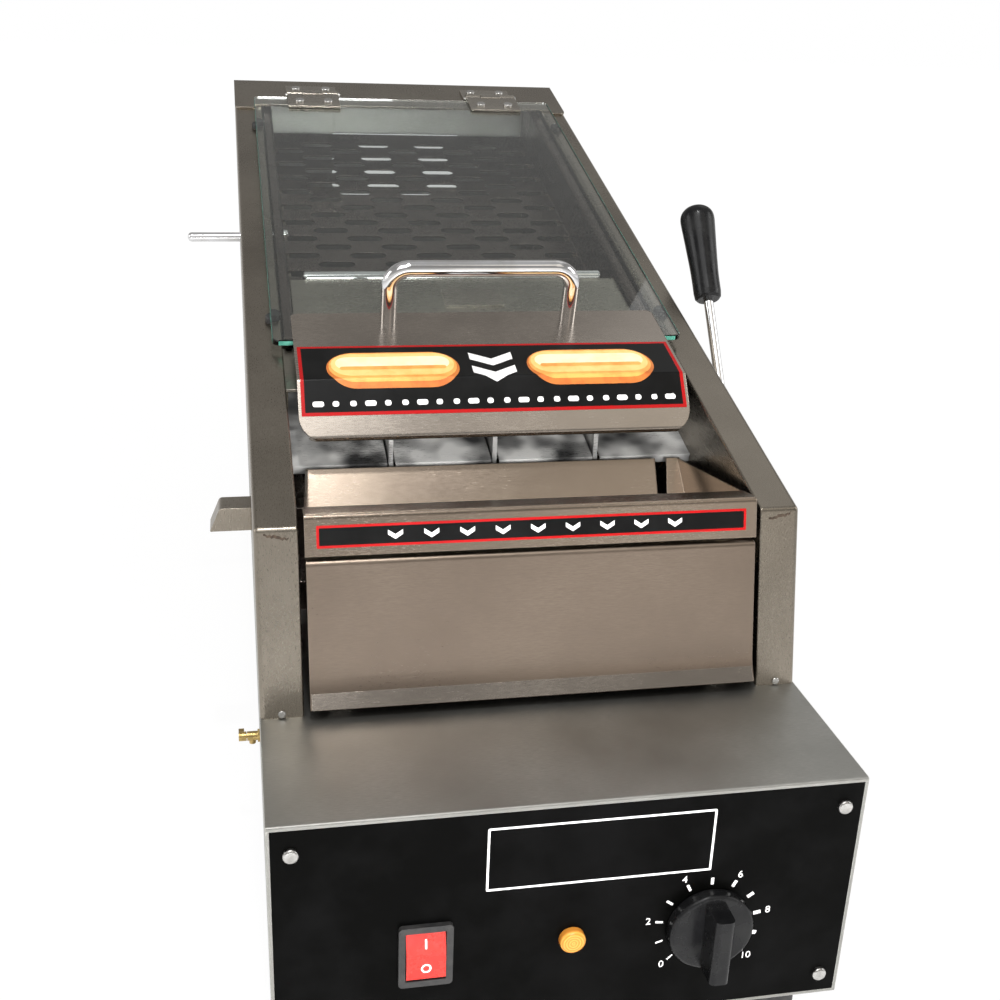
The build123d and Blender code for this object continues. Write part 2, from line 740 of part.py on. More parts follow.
def power_rocker():
    """Rocker: a drum with two flats and two pivots; it lies with its upper end pushed in."""
    y = -shelf_depth + rocker_pivot
    rim = rocker_radius
    nose = rocker_pivot + rocker_bezel[2] + 1.2
    rise = nose - rim * math.sin(math.radians(rocker_tilt))
    keep = outline((-nose, 0), (-rise, rim + 1), (rim, rim + 1), (rim, -rim - 1),
                   (-rise, -rim - 1))
    core = outline((-rim, -rim), (8, -rim), (8, rim), (-rim, rim))
    shape = Rot(0, 0, -rocker_tilt) * (Circle(rim) & keep & core)
    half = rocker_width / 2
    drum = prism_x(Pos(y, control_z) * shape, rocker_x - half, rocker_x + half)
    reach = rocker_opening()[0] / 2 + rocker_wall
    return drum + rod_x(rocker_x - reach, rocker_x + reach, y, control_z, rocker_pin)


def thermostat_body():
    """Thermostat behind the panel."""
    width, depth, height = thermostat_box
    y = -shelf_depth + panel_sheet
    body = box(knob_x - width / 2, knob_x + width / 2, y, y + depth,
               control_z - height / 2, control_z + height / 2)
    body = fillet(body.edges().filter_by(Axis.Y), 3)
    return body - rod_y(knob_x, y - 1, y + depth * 0.6, control_z,
                        spindle_diameter + 2 * pin_clearance)


def thermostat_spindle():
    """Spindle from the thermostat to the knob."""
    y0 = -shelf_depth - knob_gap - control_knob[1] * 0.6
    y1 = -shelf_depth + panel_sheet + thermostat_box[1] * 0.5
    return rod_y(knob_x, y0, y1, control_z, spindle_diameter)


def thermostat_knob():
    """Round control knob with a raised grip bar."""
    diameter, height = control_knob
    bar, bar_height = knob_grip
    y1 = -shelf_depth - knob_gap
    skirt = rod_y(knob_x, y1 - (height - bar_height), y1, control_z, diameter)
    skirt = fillet(skirt.edges().sort_by(Axis.Y)[:1], 2)
    grip = box(knob_x - bar / 2, knob_x + bar / 2, y1 - height, y1 - 2,
               control_z - diameter / 2 + 3, control_z + diameter / 2 - 3)
    grip = fillet(grip.edges().filter_by(Axis.Z), 2.5)
    bore = rod_y(knob_x, y1 - height * 0.6 - 0.1, y1 + 1, control_z, spindle_diameter + 0.04)
    return skirt + grip - bore


def pilot_lamp():
    """Round pilot lamp."""
    y = -shelf_depth
    lens = rod_y(lamp_x, y - lamp_reach, y, control_z, lamp_diameter)
    lens = fillet(lens.edges().sort_by(Axis.Y)[:1], 2)
    return lens + rod_y(lamp_x, y - 1, y + lamp_body[1], control_z, lamp_body[0])


def power_inlet():
    """Mains inlet in the back of the base, with three blades in its recess."""
    width, height, thick = inlet_flange
    y = body_depth
    flange = box(inlet_x - width / 2, inlet_x + width / 2, y, y + thick,
                 inlet_z - height / 2, inlet_z + height / 2)
    flange = fillet(flange.edges().filter_by(Axis.Y), 4)
    part = flange + box(inlet_x - inlet_body[0] / 2, inlet_x + inlet_body[0] / 2,
                        y - inlet_body[2], y, inlet_z - inlet_body[1] / 2,
                        inlet_z + inlet_body[1] / 2)
    part -= box(inlet_x - inlet_recess[0] / 2, inlet_x + inlet_recess[0] / 2,
                y + thick - inlet_recess[2], y + thick + 1, inlet_z - inlet_recess[1] / 2,
                inlet_z + inlet_recess[1] / 2)
    for x, z in ((-7, -2), (0, 3), (7, -2)):
        blade = box(inlet_x + x - inlet_blade[0] / 2, inlet_x + x + inlet_blade[0] / 2,
                    y + thick - inlet_recess[2] - 1, y + thick - inlet_recess[2] + inlet_blade[2],
                    inlet_z + z - inlet_blade[1] / 2, inlet_z + z + inlet_blade[1] / 2)
        part += blade
    return part


def drain_body():
    """Brass drain tap on the left side of the base, with its spout pointing down."""
    flange, thick = drain_flange
    barrel, length = drain_barrel
    spout, drop, wall = drain_spout
    x = -half_width
    part = Pos(x - thick / 2, drain_y, drain_z) * Rot(0, 90, 0) * extrude(
        Pos(0, 0, -thick / 2) * RegularPolygon(flange / 2, 6), thick)
    part += rod_x(x - thick - length, x - thick, drain_y, drain_z, barrel)
    part += rod_x(x - 1, x + base_sheet, drain_y, drain_z, drain_pipe_diameter)
    part += rod_z(x - thick - length / 2, drain_y, drain_z - drop, drain_z, spout)
    part -= rod_z(x - thick - length / 2, drain_y, drain_z - drop - 1, drain_z - drop / 3,
                  spout - 2 * wall)
    stem, depth = drain_stem
    end = x - thick - length
    return part - rod_x(end - 1, end + depth + 0.5, drain_y, drain_z, stem + 2 * pin_clearance)


def drain_handle():
    """Small lever on the end of the drain tap."""
    thick, width, length = drain_handle_size
    x = -half_width - drain_flange[1] - drain_barrel[1] - touch_gap
    disc = rod_x(x - thick, x, drain_y, drain_z, drain_barrel[0])
    arm = box(x - thick, x - thick * 0.3, drain_y, drain_y + length, drain_z - width / 2,
              drain_z + width / 2)
    lever = fillet((disc + arm).edges().filter_by(Axis.X).sort_by(Axis.Y)[-2:], width * 0.4)
    stem, depth = drain_stem
    return lever + rod_x(x - 1, x + touch_gap + depth, drain_y, drain_z, stem)


def lock_pin():
    """Pull pin with a round end and a collar inside the wall; it locks the ramp."""
    pin = rod_x(-pin_outer_x, -pin_inner_x, pin_y, pin_z, pin_diameter)
    pin = fillet(pin.edges(), pin_diameter * 0.42)
    collar, thick = pin_collar
    x = -inner_x - sheet - touch_gap
    return pin + rod_x(x - thick, x, pin_y, pin_z, collar)


# ================================================================ lid pieces
def glass_cover():
    """Tempered glass lid, drilled for the handle and the hinges."""
    v1 = hinge_v - glass_rear_gap
    glass = box(-glass_half_width, glass_half_width, glass_front_v, v1, glass_bottom, glass_top)
    glass = fillet(glass.edges().filter_by(Axis.Z), 3)
    glass = chamfer(glass.edges().filter_by(Axis.Y), 0.5)
    for x in (-handle_half_span, handle_half_span):
        glass -= rod_z(x, handle_v, 0, 20, handle_screw + 1.5)
    for x, v in clamp_places():
        glass -= rod_z(x, v, 0, 20, handle_screw + 1.5)
    return tilt(glass)


def hood():
    """Steel hood clamped on the front of the glass; its face leans out over the bun."""
    w = (hood_bottom + hood_top) / 2
    turn = math.radians(hood_face_angle)
    bend = (hood_bend_v, w)
    foot = (hood_bend_v - hood_face_length * math.cos(turn),
            w - hood_face_length * math.sin(turn))
    hem = (foot[0] + 5.0 * math.cos(turn / 3), foot[1] - 5.0 * math.sin(turn / 3))
    section = folded([(hood_rear_v, w), bend, foot, hem], 1.6, hood_sheet)
    x = hood_half_width
    part = prism_x(section, -x, x)
    radius = hood_corner_radius
    for side in (-1, 1):
        corner = Pos(side * (x - radius), radius)
        cut = outline((0, -9), (side * (radius + 4), -9), (side * (radius + 4), radius), (0, radius))
        cut = Pos(side * (x - radius), 0) * cut - corner * Circle(radius)
        cutter = Pos(0, foot[0], foot[1]) * Rot(hood_face_angle, 0, 0) * extrude(
            Pos(0, 0, -8) * cut, 16)
        part -= cutter
        round_part = rod_z(side * (x - hood_rear_radius), hood_rear_v - hood_rear_radius,
                           0, 20, 2 * hood_rear_radius)
        square = box(side * (x - hood_rear_radius / 2) - hood_rear_radius / 2,
                     side * (x - hood_rear_radius / 2) + hood_rear_radius / 2,
                     hood_rear_v - hood_rear_radius, hood_rear_v, 0, 20)
        part -= square - round_part
        part -= rod_z(side * handle_half_span, handle_v, 0, 20, handle_screw + 0.6)
    return tilt(part)


def handle():
    """Bent rod handle."""
    x, low, high = handle_half_span, hood_top, hood_top + handle_height
    return tilt(bent_rod([(-x, handle_v, low), (-x, handle_v, high), (x, handle_v, high),
                          (x, handle_v, low)], handle_corner_radius, handle_rod))


def handle_screws():
    """Screws from below through glass and hood into the ends of the handle."""
    head, height = handle_screw_head
    parts = []
    for x in (-handle_half_span, handle_half_span):
        screw = rod_z(x, handle_v, glass_bottom - height, glass_bottom, head)
        screw = fillet(screw.edges().sort_by(Axis.Z)[:1], 1.2)
        parts.append(tilt(screw + rod_z(x, handle_v, glass_bottom - 1, hood_top, handle_screw)))
    return group(parts)


def clamp_places():
    """Centres of the screws that clamp the hinges to the glass."""
    v = hinge_v - glass_rear_gap - hinge_leaf_reach / 2
    return [(side * hinge_x + step, v) for side in (-1, 1) for step in (-11, 11)]


def hinge_lid_leaves():
    """Hinge halves that grip the rear edge of the glass."""
    parts = []
    gap = 0.3
    middle = hinge_width * 0.4
    web_rear = hinge_v - hinge_knuckle / 2 - gap
    glass_rear = hinge_v - glass_rear_gap
    front = glass_rear - hinge_leaf_reach + 6
    for side in (-1, 1):
        x = side * hinge_x
        low = glass_bottom - side_gap - hinge_sheet
        high = glass_top + side_gap + hinge_sheet
        leaf = box(x - hinge_width / 2, x + hinge_width / 2, front, web_rear, low, high)
        leaf -= box(x - hinge_width, x + hinge_width, front - 1, glass_rear + 0.3,
                    glass_bottom - side_gap, glass_top + side_gap)
        knuckle = rod_x(x - middle / 2, x + middle / 2, hinge_v, hinge_w, hinge_knuckle)
        knuckle += box(x - middle / 2, x + middle / 2, web_rear - 1, hinge_v,
                       hinge_w - 2, hinge_w + hinge_knuckle / 2)
        leaf += knuckle
        leaf -= rod_x(x - hinge_width, x + hinge_width, hinge_v, hinge_w,
                      hinge_pin + 2 * pin_clearance)
        for cx, cv in clamp_places():
            leaf -= rod_z(cx, cv, -5, 20, handle_screw + 0.2)
        parts.append(tilt(leaf))
    return group(parts)


def clamp_screws():
    """Screws through the hinge halves and the glass."""
    head, height = handle_screw_head
    parts = []
    top = glass_top + side_gap + hinge_sheet
    low = glass_bottom - side_gap - hinge_sheet
    for x, v in clamp_places():
        screw = rod_z(x, v, top, top + height * 0.7, head * 0.8)
        screw = fillet(screw.edges().sort_by(Axis.Z)[-1:], 1.0)
        parts.append(tilt(screw + rod_z(x, v, low, top + 0.5, handle_screw)))
    return group(parts)


def hinge_fixed_leaves():
    """Hinge halves on the rear cover."""
    parts = []
    gap = 0.3
    middle = hinge_width * 0.4 + 2 * gap
    for side in (-1, 1):
        x = side * hinge_x
        knuckles = rod_x(x - hinge_width / 2, x + hinge_width / 2, hinge_v, hinge_w,
                         hinge_knuckle)
        knuckles += box(x - hinge_width / 2, x + hinge_width / 2, hinge_v,
                        hinge_v + hinge_knuckle / 2, cover_top, hinge_w)
        knuckles -= box(x - middle / 2, x + middle / 2, hinge_v - 6, hinge_v + 6.2, -5, 30)
        leaf = box(x - hinge_width / 2, x + hinge_width / 2, hinge_v + hinge_knuckle / 2 + 2.4,
                   hinge_v + hinge_leaf_reach, cover_top, cover_top + hinge_sheet)
        leaf += box(x - hinge_width / 2, x - middle / 2, hinge_v, hinge_v + 10, cover_top,
                    cover_top + hinge_sheet)
        leaf += box(x + middle / 2, x + hinge_width / 2, hinge_v, hinge_v + 10, cover_top,
                    cover_top + hinge_sheet)
        leaf += knuckles
        leaf -= rod_x(x - hinge_width, x + hinge_width, hinge_v, hinge_w,
                      hinge_pin + 2 * pin_clearance)
        parts.append(tilt(leaf))
    return group(parts)


def hinge_pins():
    """Pins of the two hinges."""
    length = hinge_width / 2 + 1.5
    parts = []
    for side in (-1, 1):
        x = side * hinge_x
        pin = rod_x(x - length, x + length, hinge_v, hinge_w, hinge_pin)
        pin += rod_x(x + hinge_width / 2 + 0.2, x + length, hinge_v, hinge_w, hinge_pin + 2)
        parts.append(tilt(pin))
    return group(parts)


def hinge_screws():
    """Screws that fix the hinges to the rear cover."""
    head, height = screw_head
    parts = []
    w = cover_top + hinge_sheet
    for side in (-1, 1):
        for step in (-12, 12):
            screw = rod_z(side * hinge_x + step, hinge_v + hinge_leaf_reach * 0.72, w,
                          w + height, head)
            parts.append(tilt(fillet(screw.edges().sort_by(Axis.Z)[-1:], height * 0.6)))
    return group(parts)


# ================================================================ gate rotor
def gate_shaft():
    """Shaft across the cabinet, which the lever turns."""
    return rod_x(-inner_x - 6, lever_x + 5, rotor_y, rotor_z, shaft_diameter)


def finger_plate(x):
    """One gate finger: a front prong that holds the first hot dog back, and a rear tooth
    that rises behind it and holds the next one while the prong is down."""
    rise = finger_tip_rise + finger_top_length * slope_tan
    prong = outline((-finger_front, finger_foot_rise), (-finger_front, finger_tip_rise),
                    (finger_top_length - finger_front, rise), *finger_throat)
    low = math.radians(tooth_angle + tooth_half_angle)
    high = math.radians(tooth_angle - tooth_half_angle)
    tooth = outline((tooth_radius * math.sin(high), tooth_radius * math.cos(high)),
                    ((tooth_radius - 3) * math.sin(low), (tooth_radius - 3) * math.cos(low)),
                    *tooth_root)
    shape = prong + tooth + Circle(finger_hub[0] / 2)
    plate = prism_x(Pos(rotor_y, rotor_z) * shape, x - finger_sheet / 2, x + finger_sheet / 2)
    hub = rod_x(x - finger_sheet / 2, x + finger_hub[1], rotor_y, rotor_z, finger_hub[0])
    return plate + hub - rod_x(x - 10, x + 20, rotor_y, rotor_z, shaft_diameter + 0.02)


def gate_fingers():
    """The three gate fingers on the shaft."""
    return group(finger_plate(x) for x in finger_x)


def along_lever(part):
    """From a piece drawn upright on the lever's axis to its tilt at rest."""
    return Pos(lever_x, rotor_y, rotor_z) * Rot(-lever_tilt, 0, 0) * part


def lever_hub_part():
    """Hub on the end of the shaft that the lever is screwed into."""
    diameter, width = lever_hub
    start = half_width + bush_flange[1] + touch_gap
    part = rod_x(lever_x - width / 2, lever_x + width / 2, rotor_y, rotor_z, diameter)
    part = fillet(part.edges(), 1.5)
    part += rod_x(start, lever_x, rotor_y, rotor_z, lever_boss)
    part -= rod_x(start - 1, lever_x + 5, rotor_y, rotor_z, shaft_diameter + 0.02)
    return part - along_lever(rod_z(0, 0, 5.5, diameter, lever_rod))


def lever_rod_part():
    """Round lever, from the hub to inside the knob."""
    return along_lever(rod_z(0, 0, 5.5, knob_start + knob_depth, lever_rod))


def lever_knob():
    """Plastic grip that widens towards its domed end."""
    length, bore = knob_length, lever_rod / 2
    outer = Spline(knob_foot[-1], *knob_side, (0, length), tangents=((0, 1), (-1, 0)))
    collar = Polyline((bore, 0), *knob_foot)
    inside = Polyline((0, length), (0, knob_depth), (bore, knob_depth), (bore, 0))
    face = Plane.XZ * make_face([collar, outer, inside])
    return along_lever(Pos(0, 0, knob_start) * revolve(face, axis=Axis.Z))


# ================================================================ drawer
def drawer_front():
    """Front of the crumb drawer, hemmed on top and flared at the foot."""
    foot_s, top_s = drawer_foot_s, drawer_top_s
    n = -front_proud
    path = [front_point(foot_s, n - drawer_lip), front_point(foot_s + drawer_flare, n),
            front_point(top_s, n), front_point(top_s, n + drawer_hem)]
    x = drawer_front_half_width
    return prism_x(folded(path, (drawer_flare_radius, drawer_top_radius), sheet), -x, x)


def drawer_box():
    """Crumb drawer behind the front, open on top."""
    x = drawer_half_width
    low = glide_height + touch_gap
    start = -shelf_depth / 4
    shell = box(-x, x, start, drawer_rear_y, low, drawer_height)
    shell -= box(-x + sheet, x - sheet, start - 1, drawer_rear_y - sheet, low + sheet,
                 drawer_height + 1)
    n = -front_proud + sheet / 2
    low_cut, high_cut = front_point(-drawer_height, n), front_point(post_height, n)
    ahead = outline(low_cut, high_cut, (-shelf_depth, high_cut[1]), (-shelf_depth, low_cut[1]))
    return shell - prism_x(ahead, -x - 1, x + 1)


# ================================================================ export
PIECES = {
    "base_shell": base_shell,
    "shelf_plate": shelf_plate,
    "control_panel": control_panel,
    "left_wall": lambda: side_wall(-1),
    "right_wall": lambda: side_wall(1),
    "back_panel": back_panel,
    "rear_cover": rear_cover,
    "water_tank": water_tank,
    "heating_element": heating_element,
    "drain_pipe": drain_pipe,
    "drain_body": drain_body,
    "drain_handle": drain_handle,
    "ramp_ledges": ramp_ledges,
    "ramp_apron": apron,
    "ramp_deck": ramp_deck,
    "inner_cover": baffle_plate,
    "inner_cover_rod": baffle_rod,
    "inner_cover_ledges": baffle_ledges,
    "glass_bumpers": glass_bumpers,
    "bulkhead": bulkhead,
    "bun_tray": bun_tray,
    "tray_rests": tray_rests,
    "drawer_glides": drawer_glides,
    "drawer_front": drawer_front,
    "drawer_box": drawer_box,
    "vent_cowl": vent_cowl,
    "left_bush": lambda: bush(-1),
    "right_bush": lambda: bush(1),
    "gate_shaft": gate_shaft,
    "gate_fingers": gate_fingers,
    "lever_hub": lever_hub_part,
    "lever_rod": lever_rod_part,
    "lever_knob": lever_knob,
    "lock_pin": lock_pin,
    "glass_cover": glass_cover,
    "hood": hood,
    "handle": handle,
    "handle_screws": handle_screws,
    "hinge_lid_leaves": hinge_lid_leaves,
    "hinge_clamp_screws": clamp_screws,
    "hinge_fixed_leaves": hinge_fixed_leaves,
    "hinge_pins": hinge_pins,
    "hinge_screws": hinge_screws,
    "thermostat_body": thermostat_body,
    "thermostat_spindle": thermostat_spindle,
    "thermostat_knob": thermostat_knob,
    "rocker_housing": rocker_housing,
    "power_rocker": power_rocker,
    "pilot_lamp": pilot_lamp,
    "power_inlet": power_inlet,
    "foot_screws": foot_screws,
    "post_screws": post_screws,
    "panel_screws": panel_screws,
}
FOOT_NAMES = ("foot_front_left", "foot_front_right", "foot_rear_left", "foot_rear_right")


def save(name, part):
    """Move a piece to the part's own frame and write it."""
    export_step(Pos(*origin_shift) * part, f"parts/{name}.step")


for piece_name, make in PIECES.items():
    save(piece_name, make())
for foot_name, (foot_centre_x, foot_centre_y) in zip(FOOT_NAMES, foot_places()):
    save(foot_name, rubber_foot(foot_centre_x, foot_centre_y))
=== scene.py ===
# %% [markdown]
# # Finishing a countertop hot dog steamer
# The frame already holds every sheet, rod and screw of the steamer at its real size.
# This lesson gives each piece the surface that the real one has, adds the printed labels and
# the small marks that are too thin to be worth a solid, and lights the result plainly.
# Everything is in metres in the frame's own axes: X to the right, Y to the back, Z up.

import math

import bmesh
import bpy
from mathutils import Matrix, Vector


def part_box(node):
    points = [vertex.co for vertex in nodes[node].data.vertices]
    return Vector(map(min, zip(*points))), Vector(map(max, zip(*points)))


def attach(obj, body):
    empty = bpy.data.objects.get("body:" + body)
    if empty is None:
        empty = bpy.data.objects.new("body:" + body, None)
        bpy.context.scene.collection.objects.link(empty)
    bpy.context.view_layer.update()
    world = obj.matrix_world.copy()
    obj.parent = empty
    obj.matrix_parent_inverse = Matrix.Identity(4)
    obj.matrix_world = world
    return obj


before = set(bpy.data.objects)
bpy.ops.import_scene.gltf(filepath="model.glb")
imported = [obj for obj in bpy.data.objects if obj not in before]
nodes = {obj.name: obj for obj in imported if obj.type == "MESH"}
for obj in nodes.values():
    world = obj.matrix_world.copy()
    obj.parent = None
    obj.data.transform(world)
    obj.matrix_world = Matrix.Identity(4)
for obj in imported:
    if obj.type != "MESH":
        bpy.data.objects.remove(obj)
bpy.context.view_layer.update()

# %% [markdown]
# ## Where things are
# Labels and marks follow sloping rails, leaning fronts and a bent hood, so the script needs a
# few of the cabinet's driving sizes. They could be measured from the frame's meshes, but a
# leaning sheet has no tidy bounding box, so the slopes are named here and only the places are
# taken from the frame.

# %% Sizes that several steps share
MM = 0.001
RAIL_SLOPE = math.radians(14.8)
POST_LEAN = math.radians(12.5)
shelf_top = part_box("shelf_plate")[1].z
panel_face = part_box("control_panel")[0].y
post_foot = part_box("right_wall")[0].y
POST_HEIGHT = 88.2 * MM
BEND_BACK = POST_HEIGHT * math.tan(POST_LEAN)
rail_origin = Vector((0, post_foot + BEND_BACK, shelf_top + POST_HEIGHT))
print("shelf at", round(shelf_top, 4), "posts start at", round(post_foot, 4))


def on_rails(x, up_slope, above):
    """A point given across, up the slope and square to the sloping rails."""
    return rail_origin + Vector((x,
                                 up_slope * math.cos(RAIL_SLOPE) - above * math.sin(RAIL_SLOPE),
                                 up_slope * math.sin(RAIL_SLOPE) + above * math.cos(RAIL_SLOPE)))


def on_front(x, up, behind):
    """A point given across, up the leaning front and behind the posts' face."""
    return Vector((x,
                   post_foot + up * math.sin(POST_LEAN) + behind * math.cos(POST_LEAN),
                   shelf_top + up * math.cos(POST_LEAN) - behind * math.sin(POST_LEAN)))


# %% [markdown]
# ## Helpers for node trees
# Every finish here is procedural. A few lines of wiring come back in each of them, so they
# are written once: one call adds a node with its values, one makes a node group.

# %% Node helpers
def add_node(tree, kind, **values):
    """A new shader node; keyword values go to its properties or, by name, to its sockets."""
    node = tree.nodes.new(kind)
    for name, value in values.items():
        if hasattr(node, name):
            setattr(node, name, value)
        else:
            node.inputs[name.replace("_", " ")].default_value = value
    return node


def new_group(name, inputs, outputs):
    """An empty shader node group with named sockets, and its two end nodes."""
    group = bpy.data.node_groups.new(name, "ShaderNodeTree")
    for socket, kind, default in inputs:
        item = group.interface.new_socket(name=socket, in_out="INPUT", socket_type=kind)
        if default is not None:
            item.default_value = default
    for socket, kind in outputs:
        group.interface.new_socket(name=socket, in_out="OUTPUT", socket_type=kind)
    start = group.nodes.new("NodeGroupInput")
    end = group.nodes.new("NodeGroupOutput")
    return group, start, end


def use_group(tree, group, **values):
    """Places a node group in a material and sets its inputs by name."""
    node = tree.nodes.new("ShaderNodeGroup")
    node.node_tree = group
    for name, value in values.items():
        node.inputs[name.replace("_", " ")].default_value = value
    return node


def new_material(name):
    """A material with nodes, its tree and its main shader."""
    material = bpy.data.materials.new(name)
    material.use_nodes = True
    tree = material.node_tree
    return material, tree, tree.nodes["Principled BSDF"]


def mix_colours(tree, mask, low, high):
    """Mixes two colours by a mask; each colour is a value or a socket."""
    node = add_node(tree, "ShaderNodeMix", data_type="RGBA")
    tree.links.new(mask, node.inputs[0])
    for socket, colour in ((node.inputs[6], low), (node.inputs[7], high)):
        if isinstance(colour, bpy.types.NodeSocket):
            tree.links.new(colour, socket)
        else:
            socket.default_value = (*colour, 1)
    return node.outputs[2]


# %% [markdown]
# ## Sheet edges
# A cut or folded sheet has no knife edges: the shear and the deburring file leave a small
# round that catches the light as a thin bright line. The CAD sheets are sharp there, and
# rounding a thousand edges in the mesh would be slow, so this group asks for the normal that a
# small round would have. Where it differs from the true one, the mask says "edge", and the
# steel finishes paint a highlight there: a lighter colour for that bright line.

# %% The edge group
edge_group, start, end = new_group(
    "sheet_edges",
    [("Radius", "NodeSocketFloat", 0.0006)],
    [("Mask", "NodeSocketFloat"), ("Normal", "NodeSocketVector")])
links = edge_group.links
rounded = add_node(edge_group, "ShaderNodeBevel", samples=4)
links.new(start.outputs["Radius"], rounded.inputs["Radius"])
true_face = add_node(edge_group, "ShaderNodeNewGeometry")
agreement = add_node(edge_group, "ShaderNodeVectorMath", operation="DOT_PRODUCT")
links.new(rounded.outputs[0], agreement.inputs[0])
links.new(true_face.outputs["Normal"], agreement.inputs[1])
edge_mask = add_node(edge_group, "ShaderNodeMapRange", From_Min=0.98, From_Max=0.75)
links.new(agreement.outputs["Value"], edge_mask.inputs["Value"])
links.new(edge_mask.outputs[0], end.inputs["Mask"])
links.new(rounded.outputs[0], end.inputs["Normal"])
print("edge group has", len(edge_group.nodes), "nodes")

# %% [markdown]
# ## Brushed stainless steel
# The sheets are stainless steel with a brushed (number 4) finish: an abrasive belt leaves
# fine parallel scratches, so the reflection is smeared across them. It could be an
# anisotropic shader, but real scratches also catch light one by one, so this group stretches
# noise along the grain and gives out a tone, a roughness and a normal that all share it.
# A second, large noise stands for the cloudy marks that wiping and steam leave. Both change
# the gloss a little: SCRATCH_GLOSS and CLOUD_GLOSS say by how much.

# %% The grain group
SCRATCH_GLOSS, CLOUD_GLOSS = 0.10, 0.07
grain_group, start, end = new_group(
    "brushed_grain",
    [("Vector", "NodeSocketVector", None), ("Normal", "NodeSocketVector", None),
     ("Stretch", "NodeSocketVector", (20, 1200, 1200)),
     ("Base Roughness", "NodeSocketFloat", 0.3), ("Bump", "NodeSocketFloat", 0.06)],
    [("Tone", "NodeSocketFloat"), ("Cloud", "NodeSocketFloat"),
     ("Roughness", "NodeSocketFloat"), ("Normal", "NodeSocketVector")])
links = grain_group.links
stretch = add_node(grain_group, "ShaderNodeVectorMath", operation="MULTIPLY")
links.new(start.outputs["Vector"], stretch.inputs[0])
links.new(start.outputs["Stretch"], stretch.inputs[1])
scratches = add_node(grain_group, "ShaderNodeTexNoise", Scale=1.0, Detail=3.0, Roughness=0.65)
links.new(stretch.outputs[0], scratches.inputs["Vector"])
clouds = add_node(grain_group, "ShaderNodeTexNoise", Scale=14.0, Detail=4.0, Roughness=0.55)
links.new(start.outputs["Vector"], clouds.inputs["Vector"])
tone = add_node(grain_group, "ShaderNodeMapRange", From_Min=0.25, From_Max=0.75)
links.new(scratches.outputs["Fac"], tone.inputs["Value"])
cloud = add_node(grain_group, "ShaderNodeMapRange", From_Min=0.3, From_Max=0.7)
links.new(clouds.outputs["Fac"], cloud.inputs["Value"])
ripple = add_node(grain_group, "ShaderNodeMath", operation="MULTIPLY_ADD")
links.new(tone.outputs[0], ripple.inputs[0])
ripple.inputs[1].default_value = SCRATCH_GLOSS
links.new(start.outputs["Base Roughness"], ripple.inputs[2])
smear = add_node(grain_group, "ShaderNodeMath", operation="MULTIPLY_ADD")
links.new(cloud.outputs[0], smear.inputs[0])
smear.inputs[1].default_value = CLOUD_GLOSS
links.new(ripple.outputs[0], smear.inputs[2])
bump = add_node(grain_group, "ShaderNodeBump", Distance=0.0002)
links.new(scratches.outputs["Fac"], bump.inputs["Height"])
links.new(start.outputs["Bump"], bump.inputs["Strength"])
links.new(start.outputs["Normal"], bump.inputs["Normal"])
links.new(tone.outputs[0], end.inputs["Tone"])
links.new(cloud.outputs[0], end.inputs["Cloud"])
links.new(smear.outputs[0], end.inputs["Roughness"])
links.new(bump.outputs[0], end.inputs["Normal"])
print("grain group has", len(grain_group.nodes), "nodes")

# %% [markdown]
# ## One recipe, several sheets
# A brushed sheet is brushed along its length before it is cut and folded. On the walls the
# grain follows the rails and then turns up the posts, on the shelf and drawer it runs across
# the cabinet. The recipe takes one direction for the tops and sides and one for the faces
# that look forward, and the two tones between which scratches and clouds move. A face's
# direction is asked for in its own piece, so that the grain stays put when the lid opens.
#
# The three stretches are noise cycles per metre: few along the grain and many across it. The
# finishes differ because the sheets do: the walls are older and browner, and the shelf is wiped
# dull. The deck and the other parts inside, under the glass and the hood, get a much darker
# copy of the steel, which is painted shade.

# %% Brushed steel recipe
ACROSS = (240, 2200, 2200)
ALONG = (2200, 240, 2200)
UP = (2200, 2200, 240)
FORWARD = -0.7
# The first factor darkens the clouds' tone; the second lightens the sheet edges as a painted
# highlight.
SHADED, EDGE_HIGHLIGHT = 0.9, 1.5


def own_direction(tree):
    """The way a face looks in its own piece, which stays the same when the piece moves."""
    geometry = add_node(tree, "ShaderNodeNewGeometry")
    turned = add_node(tree, "ShaderNodeVectorTransform", vector_type="NORMAL",
                      convert_from="WORLD", convert_to="OBJECT")
    tree.links.new(geometry.outputs["True Normal"], turned.inputs[0])
    return turned.outputs[0]


def turned_grain(tree, tops, fronts):
    """The grain's stretch: one for the tops and sides, one for the faces that look forward."""
    parts = add_node(tree, "ShaderNodeSeparateXYZ")
    tree.links.new(own_direction(tree), parts.inputs[0])
    forward = add_node(tree, "ShaderNodeMath", operation="LESS_THAN")
    tree.links.new(parts.outputs["Y"], forward.inputs[0])
    forward.inputs[1].default_value = FORWARD
    choice = add_node(tree, "ShaderNodeMix", data_type="VECTOR")
    tree.links.new(forward.outputs[0], choice.inputs[0])
    choice.inputs[4].default_value, choice.inputs[5].default_value = tops, fronts
    return choice.outputs[1]


